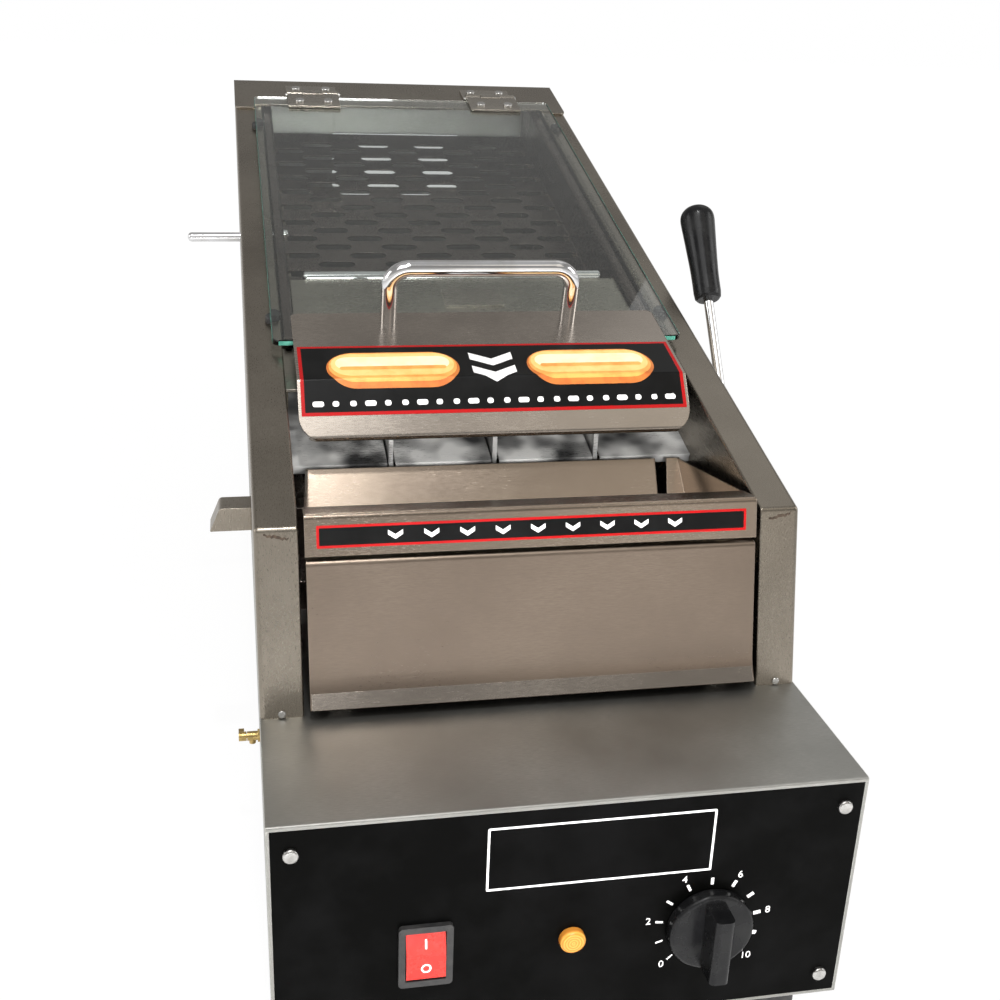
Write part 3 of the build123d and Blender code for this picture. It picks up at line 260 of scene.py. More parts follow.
def brushed_steel(name, tops, fronts, dark, light, roughness=0.2, bump_strength=0.08):
    """Stainless sheet with its grain in one or two directions and a painted highlight on its edges."""
    material, tree, shader = new_material(name)
    place = add_node(tree, "ShaderNodeTexCoord")
    edges = use_group(tree, edge_group)
    effect = use_group(tree, grain_group, Base_Roughness=roughness, Bump=bump_strength)
    tree.links.new(turned_grain(tree, tops, fronts), effect.inputs["Stretch"])
    tree.links.new(place.outputs["Object"], effect.inputs["Vector"])
    tree.links.new(edges.outputs["Normal"], effect.inputs["Normal"])
    clouded = mix_colours(tree, effect.outputs["Cloud"], tuple(c * SHADED for c in dark), light)
    grained = mix_colours(tree, effect.outputs["Tone"], dark, clouded)
    # Painted highlight: the edges get a lighter colour for the bright line that a small round catches.
    colour = mix_colours(tree, edges.outputs["Mask"], grained, tuple(c * EDGE_HIGHLIGHT for c in light))
    tree.links.new(colour, shader.inputs["Base Color"])
    tree.links.new(effect.outputs["Roughness"], shader.inputs["Roughness"])
    tree.links.new(effect.outputs["Normal"], shader.inputs["Normal"])
    shader.inputs["Metallic"].default_value = 1.0
    return material


steel_rail = brushed_steel("steel_rail", ALONG, UP, (0.25, 0.22, 0.18), (0.38, 0.34, 0.285))
steel_shelf = brushed_steel("steel_shelf", ACROSS, ACROSS, (0.38, 0.375, 0.35),
                            (0.57, 0.565, 0.535), 0.36)
steel_front = brushed_steel("steel_front", ACROSS, ACROSS, (0.245, 0.195, 0.155),
                            (0.34, 0.275, 0.22), 0.24)
steel_tray = brushed_steel("steel_tray", ACROSS, ACROSS, (0.26, 0.21, 0.165),
                           (0.38, 0.315, 0.255), 0.15)
steel_hood = brushed_steel("steel_hood", ACROSS, ACROSS, (0.38, 0.335, 0.29),
                           (0.54, 0.48, 0.42), 0.17)
# Painted shade: the parts inside the cabinet get a much darker copy of the steel.
steel_inner_shade = brushed_steel("steel_inner_shade", ALONG, ALONG, (0.10, 0.075, 0.065),
                            (0.20, 0.165, 0.15))
steel_cover = brushed_steel("steel_cover", ACROSS, ACROSS, (0.36, 0.33, 0.285),
                            (0.52, 0.48, 0.42))
print("steel finishes:", [m.name for m in bpy.data.materials if m.name.startswith("steel")])

# %% [markdown]
# ## Handling marks
# Polished and moulded surfaces carry fingerprints and fine dust rather than grain. One group
# serves chrome, plastic, paint and glass: a blotchy mask that changes the gloss a little.
# Each finish is then one line: its clean colour, its marked colour, its roughness, how much
# the marks dull it, how many blotches fit in a metre and how deep they are.

# %% The smudge group
smudge_group, start, end = new_group(
    "handling_marks",
    [("Vector", "NodeSocketVector", None), ("Size", "NodeSocketFloat", 60.0),
     ("Clean Roughness", "NodeSocketFloat", 0.1), ("Marks", "NodeSocketFloat", 0.1),
     ("Bump", "NodeSocketFloat", 0.05)],
    [("Mask", "NodeSocketFloat"), ("Roughness", "NodeSocketFloat"),
     ("Normal", "NodeSocketVector")])
links = smudge_group.links
blotches = add_node(smudge_group, "ShaderNodeTexNoise", Detail=5.0, Roughness=0.6)
links.new(start.outputs["Vector"], blotches.inputs["Vector"])
links.new(start.outputs["Size"], blotches.inputs["Scale"])
sharpen = add_node(smudge_group, "ShaderNodeMapRange", From_Min=0.42, From_Max=0.68)
links.new(blotches.outputs["Fac"], sharpen.inputs["Value"])
dull = add_node(smudge_group, "ShaderNodeMath", operation="MULTIPLY_ADD")
links.new(sharpen.outputs[0], dull.inputs[0])
links.new(start.outputs["Marks"], dull.inputs[1])
links.new(start.outputs["Clean Roughness"], dull.inputs[2])
skin = add_node(smudge_group, "ShaderNodeBump", Distance=0.0003)
links.new(blotches.outputs["Fac"], skin.inputs["Height"])
links.new(start.outputs["Bump"], skin.inputs["Strength"])
links.new(sharpen.outputs[0], end.inputs["Mask"])
links.new(dull.outputs[0], end.inputs["Roughness"])
links.new(skin.outputs[0], end.inputs["Normal"])
print("smudge group has", len(smudge_group.nodes), "nodes")


# %% Smooth finishes
METAL = 1.0


def handled(name, clean, marked, roughness, marks, size=60.0, bump_strength=0.05, metal=0.0,
            shine=0.5):
    """A smooth finish whose colour and gloss vary with handling."""
    material, tree, shader = new_material(name)
    place = add_node(tree, "ShaderNodeTexCoord")
    effect = use_group(tree, smudge_group, Size=size, Clean_Roughness=roughness, Marks=marks,
                       Bump=bump_strength)
    tree.links.new(place.outputs["Object"], effect.inputs["Vector"])
    colour = mix_colours(tree, effect.outputs["Mask"], clean, marked)
    tree.links.new(colour, shader.inputs["Base Color"])
    tree.links.new(effect.outputs["Roughness"], shader.inputs["Roughness"])
    tree.links.new(effect.outputs["Normal"], shader.inputs["Normal"])
    shader.inputs["Metallic"].default_value = metal
    shader.inputs["Specular IOR Level"].default_value = shine
    return material


chrome = handled("chrome_rod", (0.82, 0.82, 0.83), (0.7, 0.69, 0.68), 0.04, 0.10, 45, 0.01, METAL)
screw_steel = handled("screw_steel", (0.6, 0.59, 0.57), (0.42, 0.41, 0.39), 0.22, 0.2, 200, 0.1,
                      METAL)
brass = handled("tap_brass", (0.62, 0.45, 0.18), (0.38, 0.27, 0.12), 0.26, 0.25, 160, 0.15,
                METAL)
sheath = handled("heater_sheath", (0.32, 0.29, 0.27), (0.2, 0.17, 0.15), 0.35, 0.25, 90, 0.2,
                 METAL)
grip_plastic = handled("grip_plastic", (0.006, 0.006, 0.0065), (0.012, 0.012, 0.012), 0.18, 0.2,
                       70, 0.05, shine=0.22)
box_plastic = handled("moulded_black", (0.02, 0.02, 0.02), (0.035, 0.034, 0.033), 0.38, 0.15,
                      300, 0.35)
red_plastic = handled("switch_red", (0.5, 0.02, 0.015), (0.42, 0.03, 0.02), 0.2, 0.15, 80, 0.05)
white_plastic = handled("glide_plastic", (0.78, 0.77, 0.73), (0.66, 0.64, 0.6), 0.4, 0.15, 120,
                        0.1)
foot_rubber = handled("foot_rubber", (0.022, 0.022, 0.023), (0.05, 0.048, 0.045), 0.6, 0.2, 220,
                      0.5)
panel_paint = handled("panel_black", (0.0012, 0.0012, 0.0011), (0.003, 0.003, 0.003), 0.32, 0.12,
                      35, 0.04, shine=0.04)
print("smooth finishes ready:", chrome.name, grip_plastic.name, panel_paint.name)

# %% [markdown]
# ## Steel with painted sheen
# The apron and the gate fingers sit where the steam leaves the cabinet, under the hood. A
# pale, patchy film with soft rims lies on them, a painted reflection of the bright light that
# these sheets mirror. Where the film lies the surface stops being a mirror, so its mask lowers
# Metallic, and between the patches the darker steel still shows.

# %% Painted sheen finish
def scaled_steel(name):
    """Darker brushed steel under patches of pale painted reflection."""
    material, tree, shader = new_material(name)
    place = add_node(tree, "ShaderNodeTexCoord")
    edges = use_group(tree, edge_group)
    grain = use_group(tree, grain_group, Stretch=ACROSS, Base_Roughness=0.22, Bump=0.2)
    patches = add_node(tree, "ShaderNodeTexNoise", Scale=42.0, Detail=2.0, Roughness=0.45)
    painted_sheen_mask = add_node(tree, "ShaderNodeMapRange", From_Min=0.34, From_Max=0.64)
    tree.links.new(patches.outputs["Fac"], painted_sheen_mask.inputs["Value"])
    for node in (grain, patches):
        tree.links.new(place.outputs["Object"], node.inputs["Vector"])
    tree.links.new(edges.outputs["Normal"], grain.inputs["Normal"])
    steel = mix_colours(tree, grain.outputs["Tone"], (0.16, 0.162, 0.165), (0.26, 0.26, 0.26))
    # Painted reflection: the pale patches stand in for the bright light that the apron mirrors.
    colour = mix_colours(tree, painted_sheen_mask.outputs[0], steel, (0.93, 0.92, 0.89))
    tree.links.new(colour, shader.inputs["Base Color"])
    tree.links.new(grain.outputs["Roughness"], shader.inputs["Roughness"])
    tree.links.new(grain.outputs["Normal"], shader.inputs["Normal"])
    bare = add_node(tree, "ShaderNodeMapRange", To_Min=0.8, To_Max=0.1)
    tree.links.new(painted_sheen_mask.outputs[0], bare.inputs["Value"])
    tree.links.new(bare.outputs[0], shader.inputs["Metallic"])
    return material


steel_sheen_patches = scaled_steel("steel_sheen_patches")
print("painted_reflection finish ready:", steel_sheen_patches.name)

# %% [markdown]
# ## Glass with a green edge
# The lid is plain tempered glass. Looked at through its face it is nearly clear, but light
# that travels along the sheet picks up the green of the iron in it, so every cut edge is
# deep green. A volume would do it physically and slowly; here the cut edges get the green as
# the tint of the transmitted light, found from how far the surface turns from the lid's plane.

# %% Lid glass
def lid_glass(name):
    """Clear sheet glass, tinted green on its cut edges."""
    material, tree, shader = new_material(name)
    place = add_node(tree, "ShaderNodeTexCoord")
    effect = use_group(tree, smudge_group, Size=18.0, Clean_Roughness=0.0, Marks=0.03, Bump=0.0)
    tree.links.new(place.outputs["Object"], effect.inputs["Vector"])
    facing = add_node(tree, "ShaderNodeVectorMath", operation="DOT_PRODUCT")
    facing.inputs[1].default_value = (0, -math.sin(RAIL_SLOPE), math.cos(RAIL_SLOPE))
    tree.links.new(own_direction(tree), facing.inputs[0])
    size = add_node(tree, "ShaderNodeMath", operation="ABSOLUTE")
    tree.links.new(facing.outputs["Value"], size.inputs[0])
    edge = add_node(tree, "ShaderNodeMapRange", From_Min=0.5, From_Max=0.9, To_Min=1.0, To_Max=0.0)
    tree.links.new(size.outputs[0], edge.inputs["Value"])
    colour = mix_colours(tree, edge.outputs[0], (0.93, 0.97, 0.95), (0.3, 0.62, 0.5))
    tree.links.new(colour, shader.inputs["Base Color"])
    tree.links.new(effect.outputs["Roughness"], shader.inputs["Roughness"])
    shader.inputs["Transmission Weight"].default_value = 1.0
    shader.inputs["IOR"].default_value = 1.45
    return material


glass = lid_glass("lid_glass")
print("glass bends light by", glass.node_tree.nodes["Principled BSDF"].inputs["IOR"].default_value)

# %% [markdown]
# ## Lamp lens
# The pilot lamp is an amber plastic lens. It is translucent, so it gets some transmission,
# and a ribbed inside that breaks up the light.

# %% Pilot lamp
def amber_lens(name):
    """Translucent amber plastic with concentric ribs inside."""
    material, tree, shader = new_material(name)
    low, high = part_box("pilot_lamp")
    place = add_node(tree, "ShaderNodeTexCoord")
    centre = add_node(tree, "ShaderNodeVectorMath", operation="SUBTRACT")
    centre.inputs[1].default_value = (low + high) / 2
    tree.links.new(place.outputs["Object"], centre.inputs[0])
    flat = add_node(tree, "ShaderNodeVectorMath", operation="MULTIPLY")
    flat.inputs[1].default_value = (1, 0, 1)
    tree.links.new(centre.outputs[0], flat.inputs[0])
    rings = add_node(tree, "ShaderNodeTexWave", wave_type="RINGS", rings_direction="SPHERICAL",
                     Scale=250.0)
    tree.links.new(flat.outputs[0], rings.inputs["Vector"])
    colour = mix_colours(tree, rings.outputs["Fac"], (0.85, 0.28, 0.03), (0.95, 0.45, 0.08))
    tree.links.new(colour, shader.inputs["Base Color"])
    bump = add_node(tree, "ShaderNodeBump", Distance=0.0004, Strength=0.4)
    tree.links.new(rings.outputs["Fac"], bump.inputs["Height"])
    tree.links.new(bump.outputs[0], shader.inputs["Normal"])
    shader.inputs["Roughness"].default_value = 0.12
    shader.inputs["Transmission Weight"].default_value = 0.35
    return material


amber = amber_lens("lamp_amber")
print("lens finish:", amber.name)

# %% [markdown]
# ## Hand the finishes out
# Each CAD piece keeps its shape and only gets a material slot. The table reads like the
# workshop's parts list: which finish, then the pieces that have it.

# %% Finishes for the CAD pieces
FINISHES = (
    (steel_rail, ("left_wall", "right_wall", "ramp_ledges", "inner_cover_ledges", "rear_cover",
                  "vent_cowl")),
    (steel_shelf, ("shelf_plate", "base_shell", "back_panel")),
    (steel_front, ("drawer_front",)),
    (steel_tray, ("bun_tray",)),
    (steel_hood, ("hood",)),
    (steel_cover, ("inner_cover", "hinge_lid_leaves", "hinge_fixed_leaves")),
    (steel_sheen_patches, ("ramp_apron", "gate_fingers")),
    (steel_inner_shade, ("ramp_deck", "water_tank", "drawer_box", "tray_rests", "bulkhead")),
    (chrome, ("handle", "lever_rod", "lever_hub", "gate_shaft", "lock_pin", "inner_cover_rod")),
    (screw_steel, ("handle_screws", "hinge_clamp_screws", "hinge_pins", "hinge_screws",
                   "foot_screws", "post_screws", "panel_screws", "thermostat_spindle")),
    (brass, ("drain_body", "drain_handle", "drain_pipe", "left_bush", "right_bush")),
    (sheath, ("heating_element",)),
    (grip_plastic, ("lever_knob", "thermostat_knob")),
    (box_plastic, ("rocker_housing", "thermostat_body", "power_inlet")),
    (red_plastic, ("power_rocker",)),
    (white_plastic, ("drawer_glides",)),
    (foot_rubber, ("glass_bumpers", "foot_front_left", "foot_front_right", "foot_rear_left",
                   "foot_rear_right")),
    (panel_paint, ("control_panel",)),
    (glass, ("glass_cover",)),
    (amber, ("pilot_lamp",)),
)
dressed = set()
for finish, names in FINISHES:
    for name in names:
        mesh = nodes[name].data
        mesh.materials.clear()
        mesh.materials.append(finish)
        dressed.add(name)
print("dressed", len(dressed), "of", len(nodes), "left plain:", sorted(set(nodes) - dressed))

# %% [markdown]
# ## Printed labels
# The labels are thin printed films. They could be painted by the material, but crisp shapes
# need many texture pixels, so each printed field is a real film of its own colour: a flat
# outline that is filled, cut into strips where the sheet bends, and then laid on the sheet.
# FILM is how thick one layer is and ON_SHEET the gap that keeps the lowest one off the steel.

# %% Film helpers
FILM = 0.12 * MM
ON_SHEET = 0.02 * MM


def rounded_box(width, height, radius, steps=6):
    """Outline of a box with round corners, as a list of 2-D points."""
    points = []
    for turn, (sx, sy) in enumerate(((1, 1), (-1, 1), (-1, -1), (1, -1))):
        cx, cy = sx * (width / 2 - radius), sy * (height / 2 - radius)
        for step in range(steps + 1):
            angle = math.radians(90 * turn + 90 * step / steps)
            points.append((cx + radius * math.cos(angle), cy + radius * math.sin(angle)))
    return points


def moved(points, x, y):
    """The same outline somewhere else."""
    return [(px + x, py + y) for px, py in points]


def film(name, outline, place, lift, cuts, material, body, hole=None):
    """A thin film with that outline, laid on a sheet by place(x, y, lift)."""
    mesh = bmesh.new()
    loops = [outline] if hole is None else [outline, hole]
    edges = []
    for loop in loops:
        ring = [mesh.verts.new((x, y, 0)) for x, y in loop]
        edges += [mesh.edges.new((ring[i - 1], ring[i])) for i in range(len(ring))]
    bmesh.ops.triangle_fill(mesh, edges=edges, use_beauty=True, use_dissolve=False)
    for cut in cuts:
        geometry = mesh.verts[:] + mesh.edges[:] + mesh.faces[:]
        bmesh.ops.bisect_plane(mesh, geom=geometry, plane_co=(0, cut, 0), plane_no=(0, 1, 0))
    bmesh.ops.recalc_face_normals(mesh, faces=mesh.faces[:])
    top = bmesh.ops.extrude_face_region(mesh, geom=mesh.faces[:])
    raised = {v for v in top["geom"] if isinstance(v, bmesh.types.BMVert)}
    for vertex in mesh.verts:
        x, y, _ = vertex.co
        vertex.co = place(x, y, lift + FILM if vertex in raised else lift)
    bmesh.ops.recalc_face_normals(mesh, faces=mesh.faces[:])
    data = bpy.data.meshes.new(name)
    mesh.to_mesh(data)
    mesh.free()
    data.materials.append(material)
    piece = bpy.data.objects.new(name, data)
    bpy.context.scene.collection.objects.link(piece)
    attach(piece, body)
    return piece


# %% [markdown]
# ## Printing inks
# Screen-printed vinyl is glossy and even, with a faint orange-peel. A printer builds shading
# from a few flat inks laid one inside the next, so the golden shapes need four: brown and
# toast for the rim, gold and cream for the crown.

# %% Ink finishes
ink_red = handled("ink_red", (0.36, 0.003, 0.004), (0.31, 0.006, 0.006), 0.3, 0.1, 50, 0.03,
                  shine=0.2)
ink_black = handled("ink_black", (0.003, 0.003, 0.003), (0.006, 0.006, 0.006), 0.3, 0.12, 40, 0.03,
                    shine=0.14)
ink_white = handled("ink_white", (0.88, 0.87, 0.86), (0.8, 0.79, 0.78), 0.25, 0.1, 60, 0.03)
INKS = {"brown": handled("ink_brown", (0.55, 0.17, 0.03), (0.42, 0.10, 0.015), 0.3, 0.1, 90, 0.03),
        "toast": handled("ink_toast", (0.86, 0.38, 0.09), (0.72, 0.26, 0.05), 0.3, 0.1, 90, 0.03),
        "gold": handled("ink_gold", (0.93, 0.58, 0.21), (0.90, 0.46, 0.13), 0.3, 0.1, 90, 0.03),
        "cream": handled("ink_cream", (0.95, 0.80, 0.52), (0.93, 0.70, 0.38), 0.3, 0.1, 110, 0.03)}
print("inks:", [m.name for m in bpy.data.materials if m.name.startswith("ink")])

# %% [markdown]
# ## Light in the glass edges
# Seen from outside, a cut edge of the lid glows sea green, because light from the whole sheet
# leaves there. A thin green film on each visible edge stands for that glow.

# %% Glass edges
edge_green = handled("glass_edge_green", (0.10, 0.34, 0.26), (0.05, 0.22, 0.165), 0.12, 0.1, 140,
                     0.0)
GLASS_LOW, GLASS_HIGH = 4.5 * MM, 7.0 * MM
GLASS_HALF, GLASS_CORNER = 118.0 * MM, 3.2 * MM
GLASS_FRONT, GLASS_REAR = 160.0 * MM, 546.0 * MM


def on_glass_side(side):
    """Placer for films on one long edge of the lid: up the slope, and up through the glass."""
    return lambda x, y, lift: on_rails(side * (GLASS_HALF + lift), x, y)


def on_glass_front(x, y, lift):
    """A point on the front edge of the lid."""
    return on_rails(x, GLASS_FRONT - lift, y)


edge_middle = (GLASS_LOW + GLASS_HIGH) / 2
side_start = GLASS_FRONT + GLASS_CORNER
edge_box = rounded_box(GLASS_REAR - side_start, GLASS_HIGH - GLASS_LOW, 0.3 * MM)
for side, name in ((-1, "left"), (1, "right")):
    film(f"glass_edge_{name}", moved(edge_box, (side_start + GLASS_REAR) / 2, edge_middle),
         on_glass_side(side), ON_SHEET, [], edge_green, "lid")
front_box = rounded_box(2 * (GLASS_HALF - GLASS_CORNER), GLASS_HIGH - GLASS_LOW, 0.3 * MM)
film("glass_edge_front", moved(front_box, 0, edge_middle), on_glass_front, ON_SHEET, [],
     edge_green, "lid")
print("glass edges", round((GLASS_REAR - side_start) * 1000), "mm long")

# %% [markdown]
# ## The tab
# The inner cover is lifted by a tab, cut from the hood's steel, which is a little lighter and
# glossier than the sheet around it. It could be a mask in the cover's finish, but its outline
# is crisp, so it is a film.

# %% Tab film
TAB_X, TAB_UP, TAB_TOP = 6.5 * MM, 232 * MM, -6.5 * MM
tab_box = moved(rounded_box(36.4 * MM, 21.4 * MM, 1.8 * MM), TAB_X, TAB_UP)
film("cover_tab_face", tab_box, lambda x, y, lift: on_rails(x, y, TAB_TOP + lift), ON_SHEET, [],
     steel_hood, "cabinet")
print("tab face is", round(TAB_UP * 1000), "mm up the slope")

# %% [markdown]
# ## The drawer's hemmed foot
# The raw edge at the foot of the drawer front is folded back on itself and pressed flat, so
# that it doesn't cut a hand. It lies forward of the front, as the foot is flared, and the
# fold leaves a crisp line across the sheet.

# %% Hemmed foot
HEM_HALF, HEM_LOW, HEM_HIGH = 109.0 * MM, 4.3 * MM, 11.6 * MM
HEM_PROUD = 0.55 * MM
FLARE_TOP, FLARE_SLOPE, DRAWER_FACE = 12.0 * MM, 3.5 / 8.0, -1.4 * MM


def on_drawer_foot(x, up, lift):
    """A point on the flared foot of the drawer front."""
    return on_front(x, up, DRAWER_FACE - FLARE_SLOPE * (FLARE_TOP - up) - lift)


hem_box = moved(rounded_box(2 * HEM_HALF, HEM_HIGH - HEM_LOW, 0.3 * MM), 0,
                (HEM_HIGH + HEM_LOW) / 2)
# The hem itself is real; its lighter hood steel is a painted highlight for the light that the fold
# catches.
film("drawer_foot_hem", hem_box, on_drawer_foot, HEM_PROUD, [], steel_hood, "drawer")
print("hem is", round((HEM_HIGH - HEM_LOW) * 1000, 1), "mm tall")

# %% [markdown]
# ## Weld scars
# Each post was welded to its rail and ground back, which has left a dark ragged scar beside
# the seam. Sine waves of unlike length give it a rim that doesn't repeat.

# %% Weld scars
weld_scar = handled("weld_scar", (0.05, 0.035, 0.025), (0.16, 0.12, 0.09), 0.5, 0.3, 400, 0.6,
                    metal=0.6)
SCAR_WIDTH, SCAR_HEIGHT, SCAR_STEPS = 11.5 * MM, 2.2 * MM, 12
SCAR_X, SCAR_UP, SCAR_CLIMB = 122.8 * MM, 86.4 * MM, 2.4 * MM


def scar(rise):
    """A ragged outline that climbs a little from left to right."""
    lower, upper = [], []
    for step in range(SCAR_STEPS + 1):
        x = SCAR_WIDTH * (step / SCAR_STEPS - 0.5)
        middle = rise * (step / SCAR_STEPS - 0.5)
        wobble = 0.35 * math.sin(2.7 * step) + 0.25 * math.sin(5.3 * step + 1)
        half = SCAR_HEIGHT * (0.18 + 0.16 * math.sin(math.pi * step / SCAR_STEPS))
        lower.append((x, middle + wobble * MM - half))
        upper.append((x, middle + wobble * MM + half))
    return lower + upper[::-1]


for side, name in ((-1, "left"), (1, "right")):
    film(f"weld_scar_{name}", moved(scar(side * SCAR_CLIMB), side * SCAR_X, SCAR_UP),
         lambda x, y, lift: on_front(x, y, -lift), ON_SHEET, [], weld_scar, "cabinet")
print("weld scars", round(SCAR_WIDTH * 1000, 1), "mm wide")

# %% [markdown]
# ## The hood's label
# The film starts on the hood's top plate, goes over the bend and ends part way down the
# leaning face. The hood's outside is two flats and a small arc, so a distance measured over
# the sheet turns into a place on it with three short cases.

# %% Laying films on the hood
HOOD_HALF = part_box("hood")[1].x
BUMPER, GLASS, HOOD_SHEET = 3.8 * MM, 3.5 * MM, 1.4 * MM
REST_GAP, CLAMP_GAP = 0.2 * MM, 0.1 * MM
HOOD_TOP = BUMPER + REST_GAP + GLASS + CLAMP_GAP + HOOD_SHEET
HOOD_TURN = math.radians(38.5)
HOOD_BEND = 116 * MM - HOOD_SHEET / 2 * math.tan(HOOD_TURN / 2)
BEND_RADIUS = 1.6 * MM + HOOD_SHEET / 2
BEND_STRIPS = 6
flat_stop = BEND_RADIUS * math.tan(HOOD_TURN / 2)
arc_length = BEND_RADIUS * HOOD_TURN


def on_hood(x, down, lift):
    """A point on the hood: across, and over the sheet from the sharp bend line downwards."""
    bend_start = -flat_stop
    if down <= bend_start:
        return on_rails(x, HOOD_BEND - down, HOOD_TOP + lift)
    angle = min((down - bend_start) / BEND_RADIUS, HOOD_TURN)
    reach = BEND_RADIUS + lift
    v = HOOD_BEND + flat_stop - reach * math.sin(angle)
    w = HOOD_TOP - BEND_RADIUS + reach * math.cos(angle)
    past = max(down - bend_start - arc_length, 0)
    return on_rails(x, v - past * math.cos(HOOD_TURN), w - past * math.sin(HOOD_TURN))


LABEL_HALF = HOOD_HALF - 1.5 * MM
LABEL_TOP, LABEL_FOOT = -34 * MM, 20.5 * MM
BORDER = 1.9 * MM
bend_cuts = [-flat_stop + arc_length * k / BEND_STRIPS for k in range(BEND_STRIPS + 1)]
label_height = LABEL_FOOT - LABEL_TOP
label_middle = (LABEL_FOOT + LABEL_TOP) / 2


def label_box(inset, radius):
    """The label's outline, drawn inside its edge by inset."""
    box = rounded_box(2 * (LABEL_HALF - inset), label_height - 2 * inset, radius)
    return moved(box, 0, label_middle)


label_field = label_box(BORDER, 0.3 * MM)
film("hood_label_border", label_box(0, 0.6 * MM), on_hood, ON_SHEET, bend_cuts, ink_red, "lid",
     hole=label_field)
film("hood_label_field", label_field, on_hood, ON_SHEET, bend_cuts, ink_black, "lid")
print("hood label:", round(2 * LABEL_HALF * 1000), "by", round(label_height * 1000), "mm")

# %% [markdown]
# ## What is printed on it
# A generic print: golden rounded loaves with a pale crown and a toasted split, white chevrons
# that point at the opening and a row of white beads. Each motif is its own film on top of the
# black field, and each ring of a loaf lies one film higher than the ring around it.

# %% Motifs on the hood
def chevron(width, height, thickness):
    """A chevron that points down the label."""
    half = width / 2
    return [(-half, 0), (-half, thickness), (0, height), (half, thickness), (half, 0),
            (0, height - thickness)]


LOAF_RINGS = (("crust", 1.0, 1.0, 0.0, "brown"), ("bake", 0.965, 0.87, 0.05, "toast"),
              ("glaze", 0.93, 0.70, 0.10, "gold"), ("crumb", 0.86, 0.40, 0.14, "cream"),
              ("split", 0.80, 0.10, -0.02, "toast"))


def loaf(name, x, y, length, width, place, lift, cuts, body):
    """Nested rounded shapes, from a toasted rim to a pale crown with a split along it."""
    for level, (part, long, wide, rise, tone) in enumerate(LOAF_RINGS):
        ring = rounded_box(length * long, width * wide, width * wide * 0.49, 10)
        film(f"{name}_{part}", moved(ring, x, y - rise * width), place, lift + level * FILM, cuts,
             INKS[tone], body)


MOTIF_LIFT = 0.16 * MM
LOAF_X, LOAF_LENGTH, LOAF_WIDTH = 55 * MM, 72 * MM, 32 * MM
loaf_row = label_middle - 3.5 * MM
for side, name in ((-1, "left"), (1, "right")):
    loaf(f"hood_print_loaf_{name}", side * LOAF_X, loaf_row, LOAF_LENGTH, LOAF_WIDTH, on_hood,
         MOTIF_LIFT, bend_cuts, "lid")
CHEVRON_PITCH, CHEVRON_START = 14 * MM, label_middle - 18 * MM
for row in range(2):
    mark = moved(chevron(24 * MM, 14 * MM, 7 * MM), 0, CHEVRON_START + row * CHEVRON_PITCH)
    film(f"hood_print_chevron_{row}", mark, on_hood, MOTIF_LIFT, bend_cuts, ink_white, "lid")
BEADS, BEAD_PITCH, BEAD_ROW = 22, 9.2 * MM, LABEL_FOOT - BORDER - 4.6 * MM
for index in range(BEADS):
    wide = 3.4 * MM if index % 3 else 6.0 * MM
    bead_x = (index - (BEADS - 1) / 2) * BEAD_PITCH
    film(f"hood_print_bead_{index}", moved(rounded_box(wide, 3.0 * MM, 1.2 * MM, 4), bead_x, BEAD_ROW),
         on_hood, MOTIF_LIFT, bend_cuts, ink_white, "lid")
print("printed two loaves, two chevrons and", BEADS, "beads")

# %% [markdown]
# ## The tray's label
# A narrow film across the tray's front flange, with the same border and a row of chevrons
# that point down. The flange is flat, so the film needs no cuts.

# %% Laying films on the tray
TRAY_FACE = -1.5 * MM
STRIP_LOW, STRIP_HIGH = 80.5 * MM, 91.2 * MM
STRIP_HALF, STRIP_BORDER = 104.5 * MM, 1.2 * MM
MARKS, MARK_PITCH, MARK_RISE = 9, 17 * MM, 2.2 * MM


def on_tray(x, up, lift):
    """A point on the leaning face of the tray's flange."""
    return on_front(x, up, TRAY_FACE - lift)


strip_height = STRIP_HIGH - STRIP_LOW
strip_middle = (STRIP_HIGH + STRIP_LOW) / 2
strip_outer = moved(rounded_box(2 * STRIP_HALF, strip_height, 0.5 * MM), 0, strip_middle)
strip_inner = moved(rounded_box(2 * (STRIP_HALF - STRIP_BORDER), strip_height - 2 * STRIP_BORDER,
                                0.3 * MM), 0, strip_middle)
film("tray_label_border", strip_outer, on_tray, ON_SHEET, [], ink_red, "tray", hole=strip_inner)
film("tray_label_field", strip_inner, on_tray, ON_SHEET, [], ink_black, "tray")
for index in range(MARKS):
    x = (index - (MARKS - 1) / 2) * MARK_PITCH
    mark = [(px + x, strip_middle + MARK_RISE - py) for px, py in
            chevron(7 * MM, 4.4 * MM, 2.2 * MM)]
    film(f"tray_print_chevron_{index}", mark, on_tray, MOTIF_LIFT, [], ink_white, "tray")
print("tray label:", round(2 * STRIP_HALF * 1000), "by", round(strip_height * 1000, 1), "mm")

# %% [markdown]
# ## Marks on the control panel
# The black panel has a thin white frame that is left bare inside, and a scale round the
# thermostat knob: ticks that grow towards the hot end, with plain numbers.

# %% Panel print
def on_panel(x, up, lift):
    """A point on the upright panel; up is measured from the shelf."""
    return Vector((x, panel_face - lift, shelf_top + up))


FRAME_LEFT, FRAME_RIGHT = -40 * MM, 62.6 * MM
FRAME_TOP, FRAME_FOOT, FRAME_LINE = -9.5 * MM, -42 * MM, 1.0 * MM
frame_x, frame_z = (FRAME_LEFT + FRAME_RIGHT) / 2, (FRAME_TOP + FRAME_FOOT) / 2
frame_wide, frame_tall = FRAME_RIGHT - FRAME_LEFT, FRAME_TOP - FRAME_FOOT
frame_inner = rounded_box(frame_wide - 2 * FRAME_LINE, frame_tall - 2 * FRAME_LINE, 0.4 * MM)
film("panel_frame", moved(rounded_box(frame_wide, frame_tall, 0.8 * MM), frame_x, frame_z),
     on_panel, ON_SHEET, [], ink_white, "cabinet", hole=moved(frame_inner, frame_x, frame_z))
print("bare frame:", round(frame_wide * 1000, 1), "by", round(frame_tall * 1000, 1), "mm")

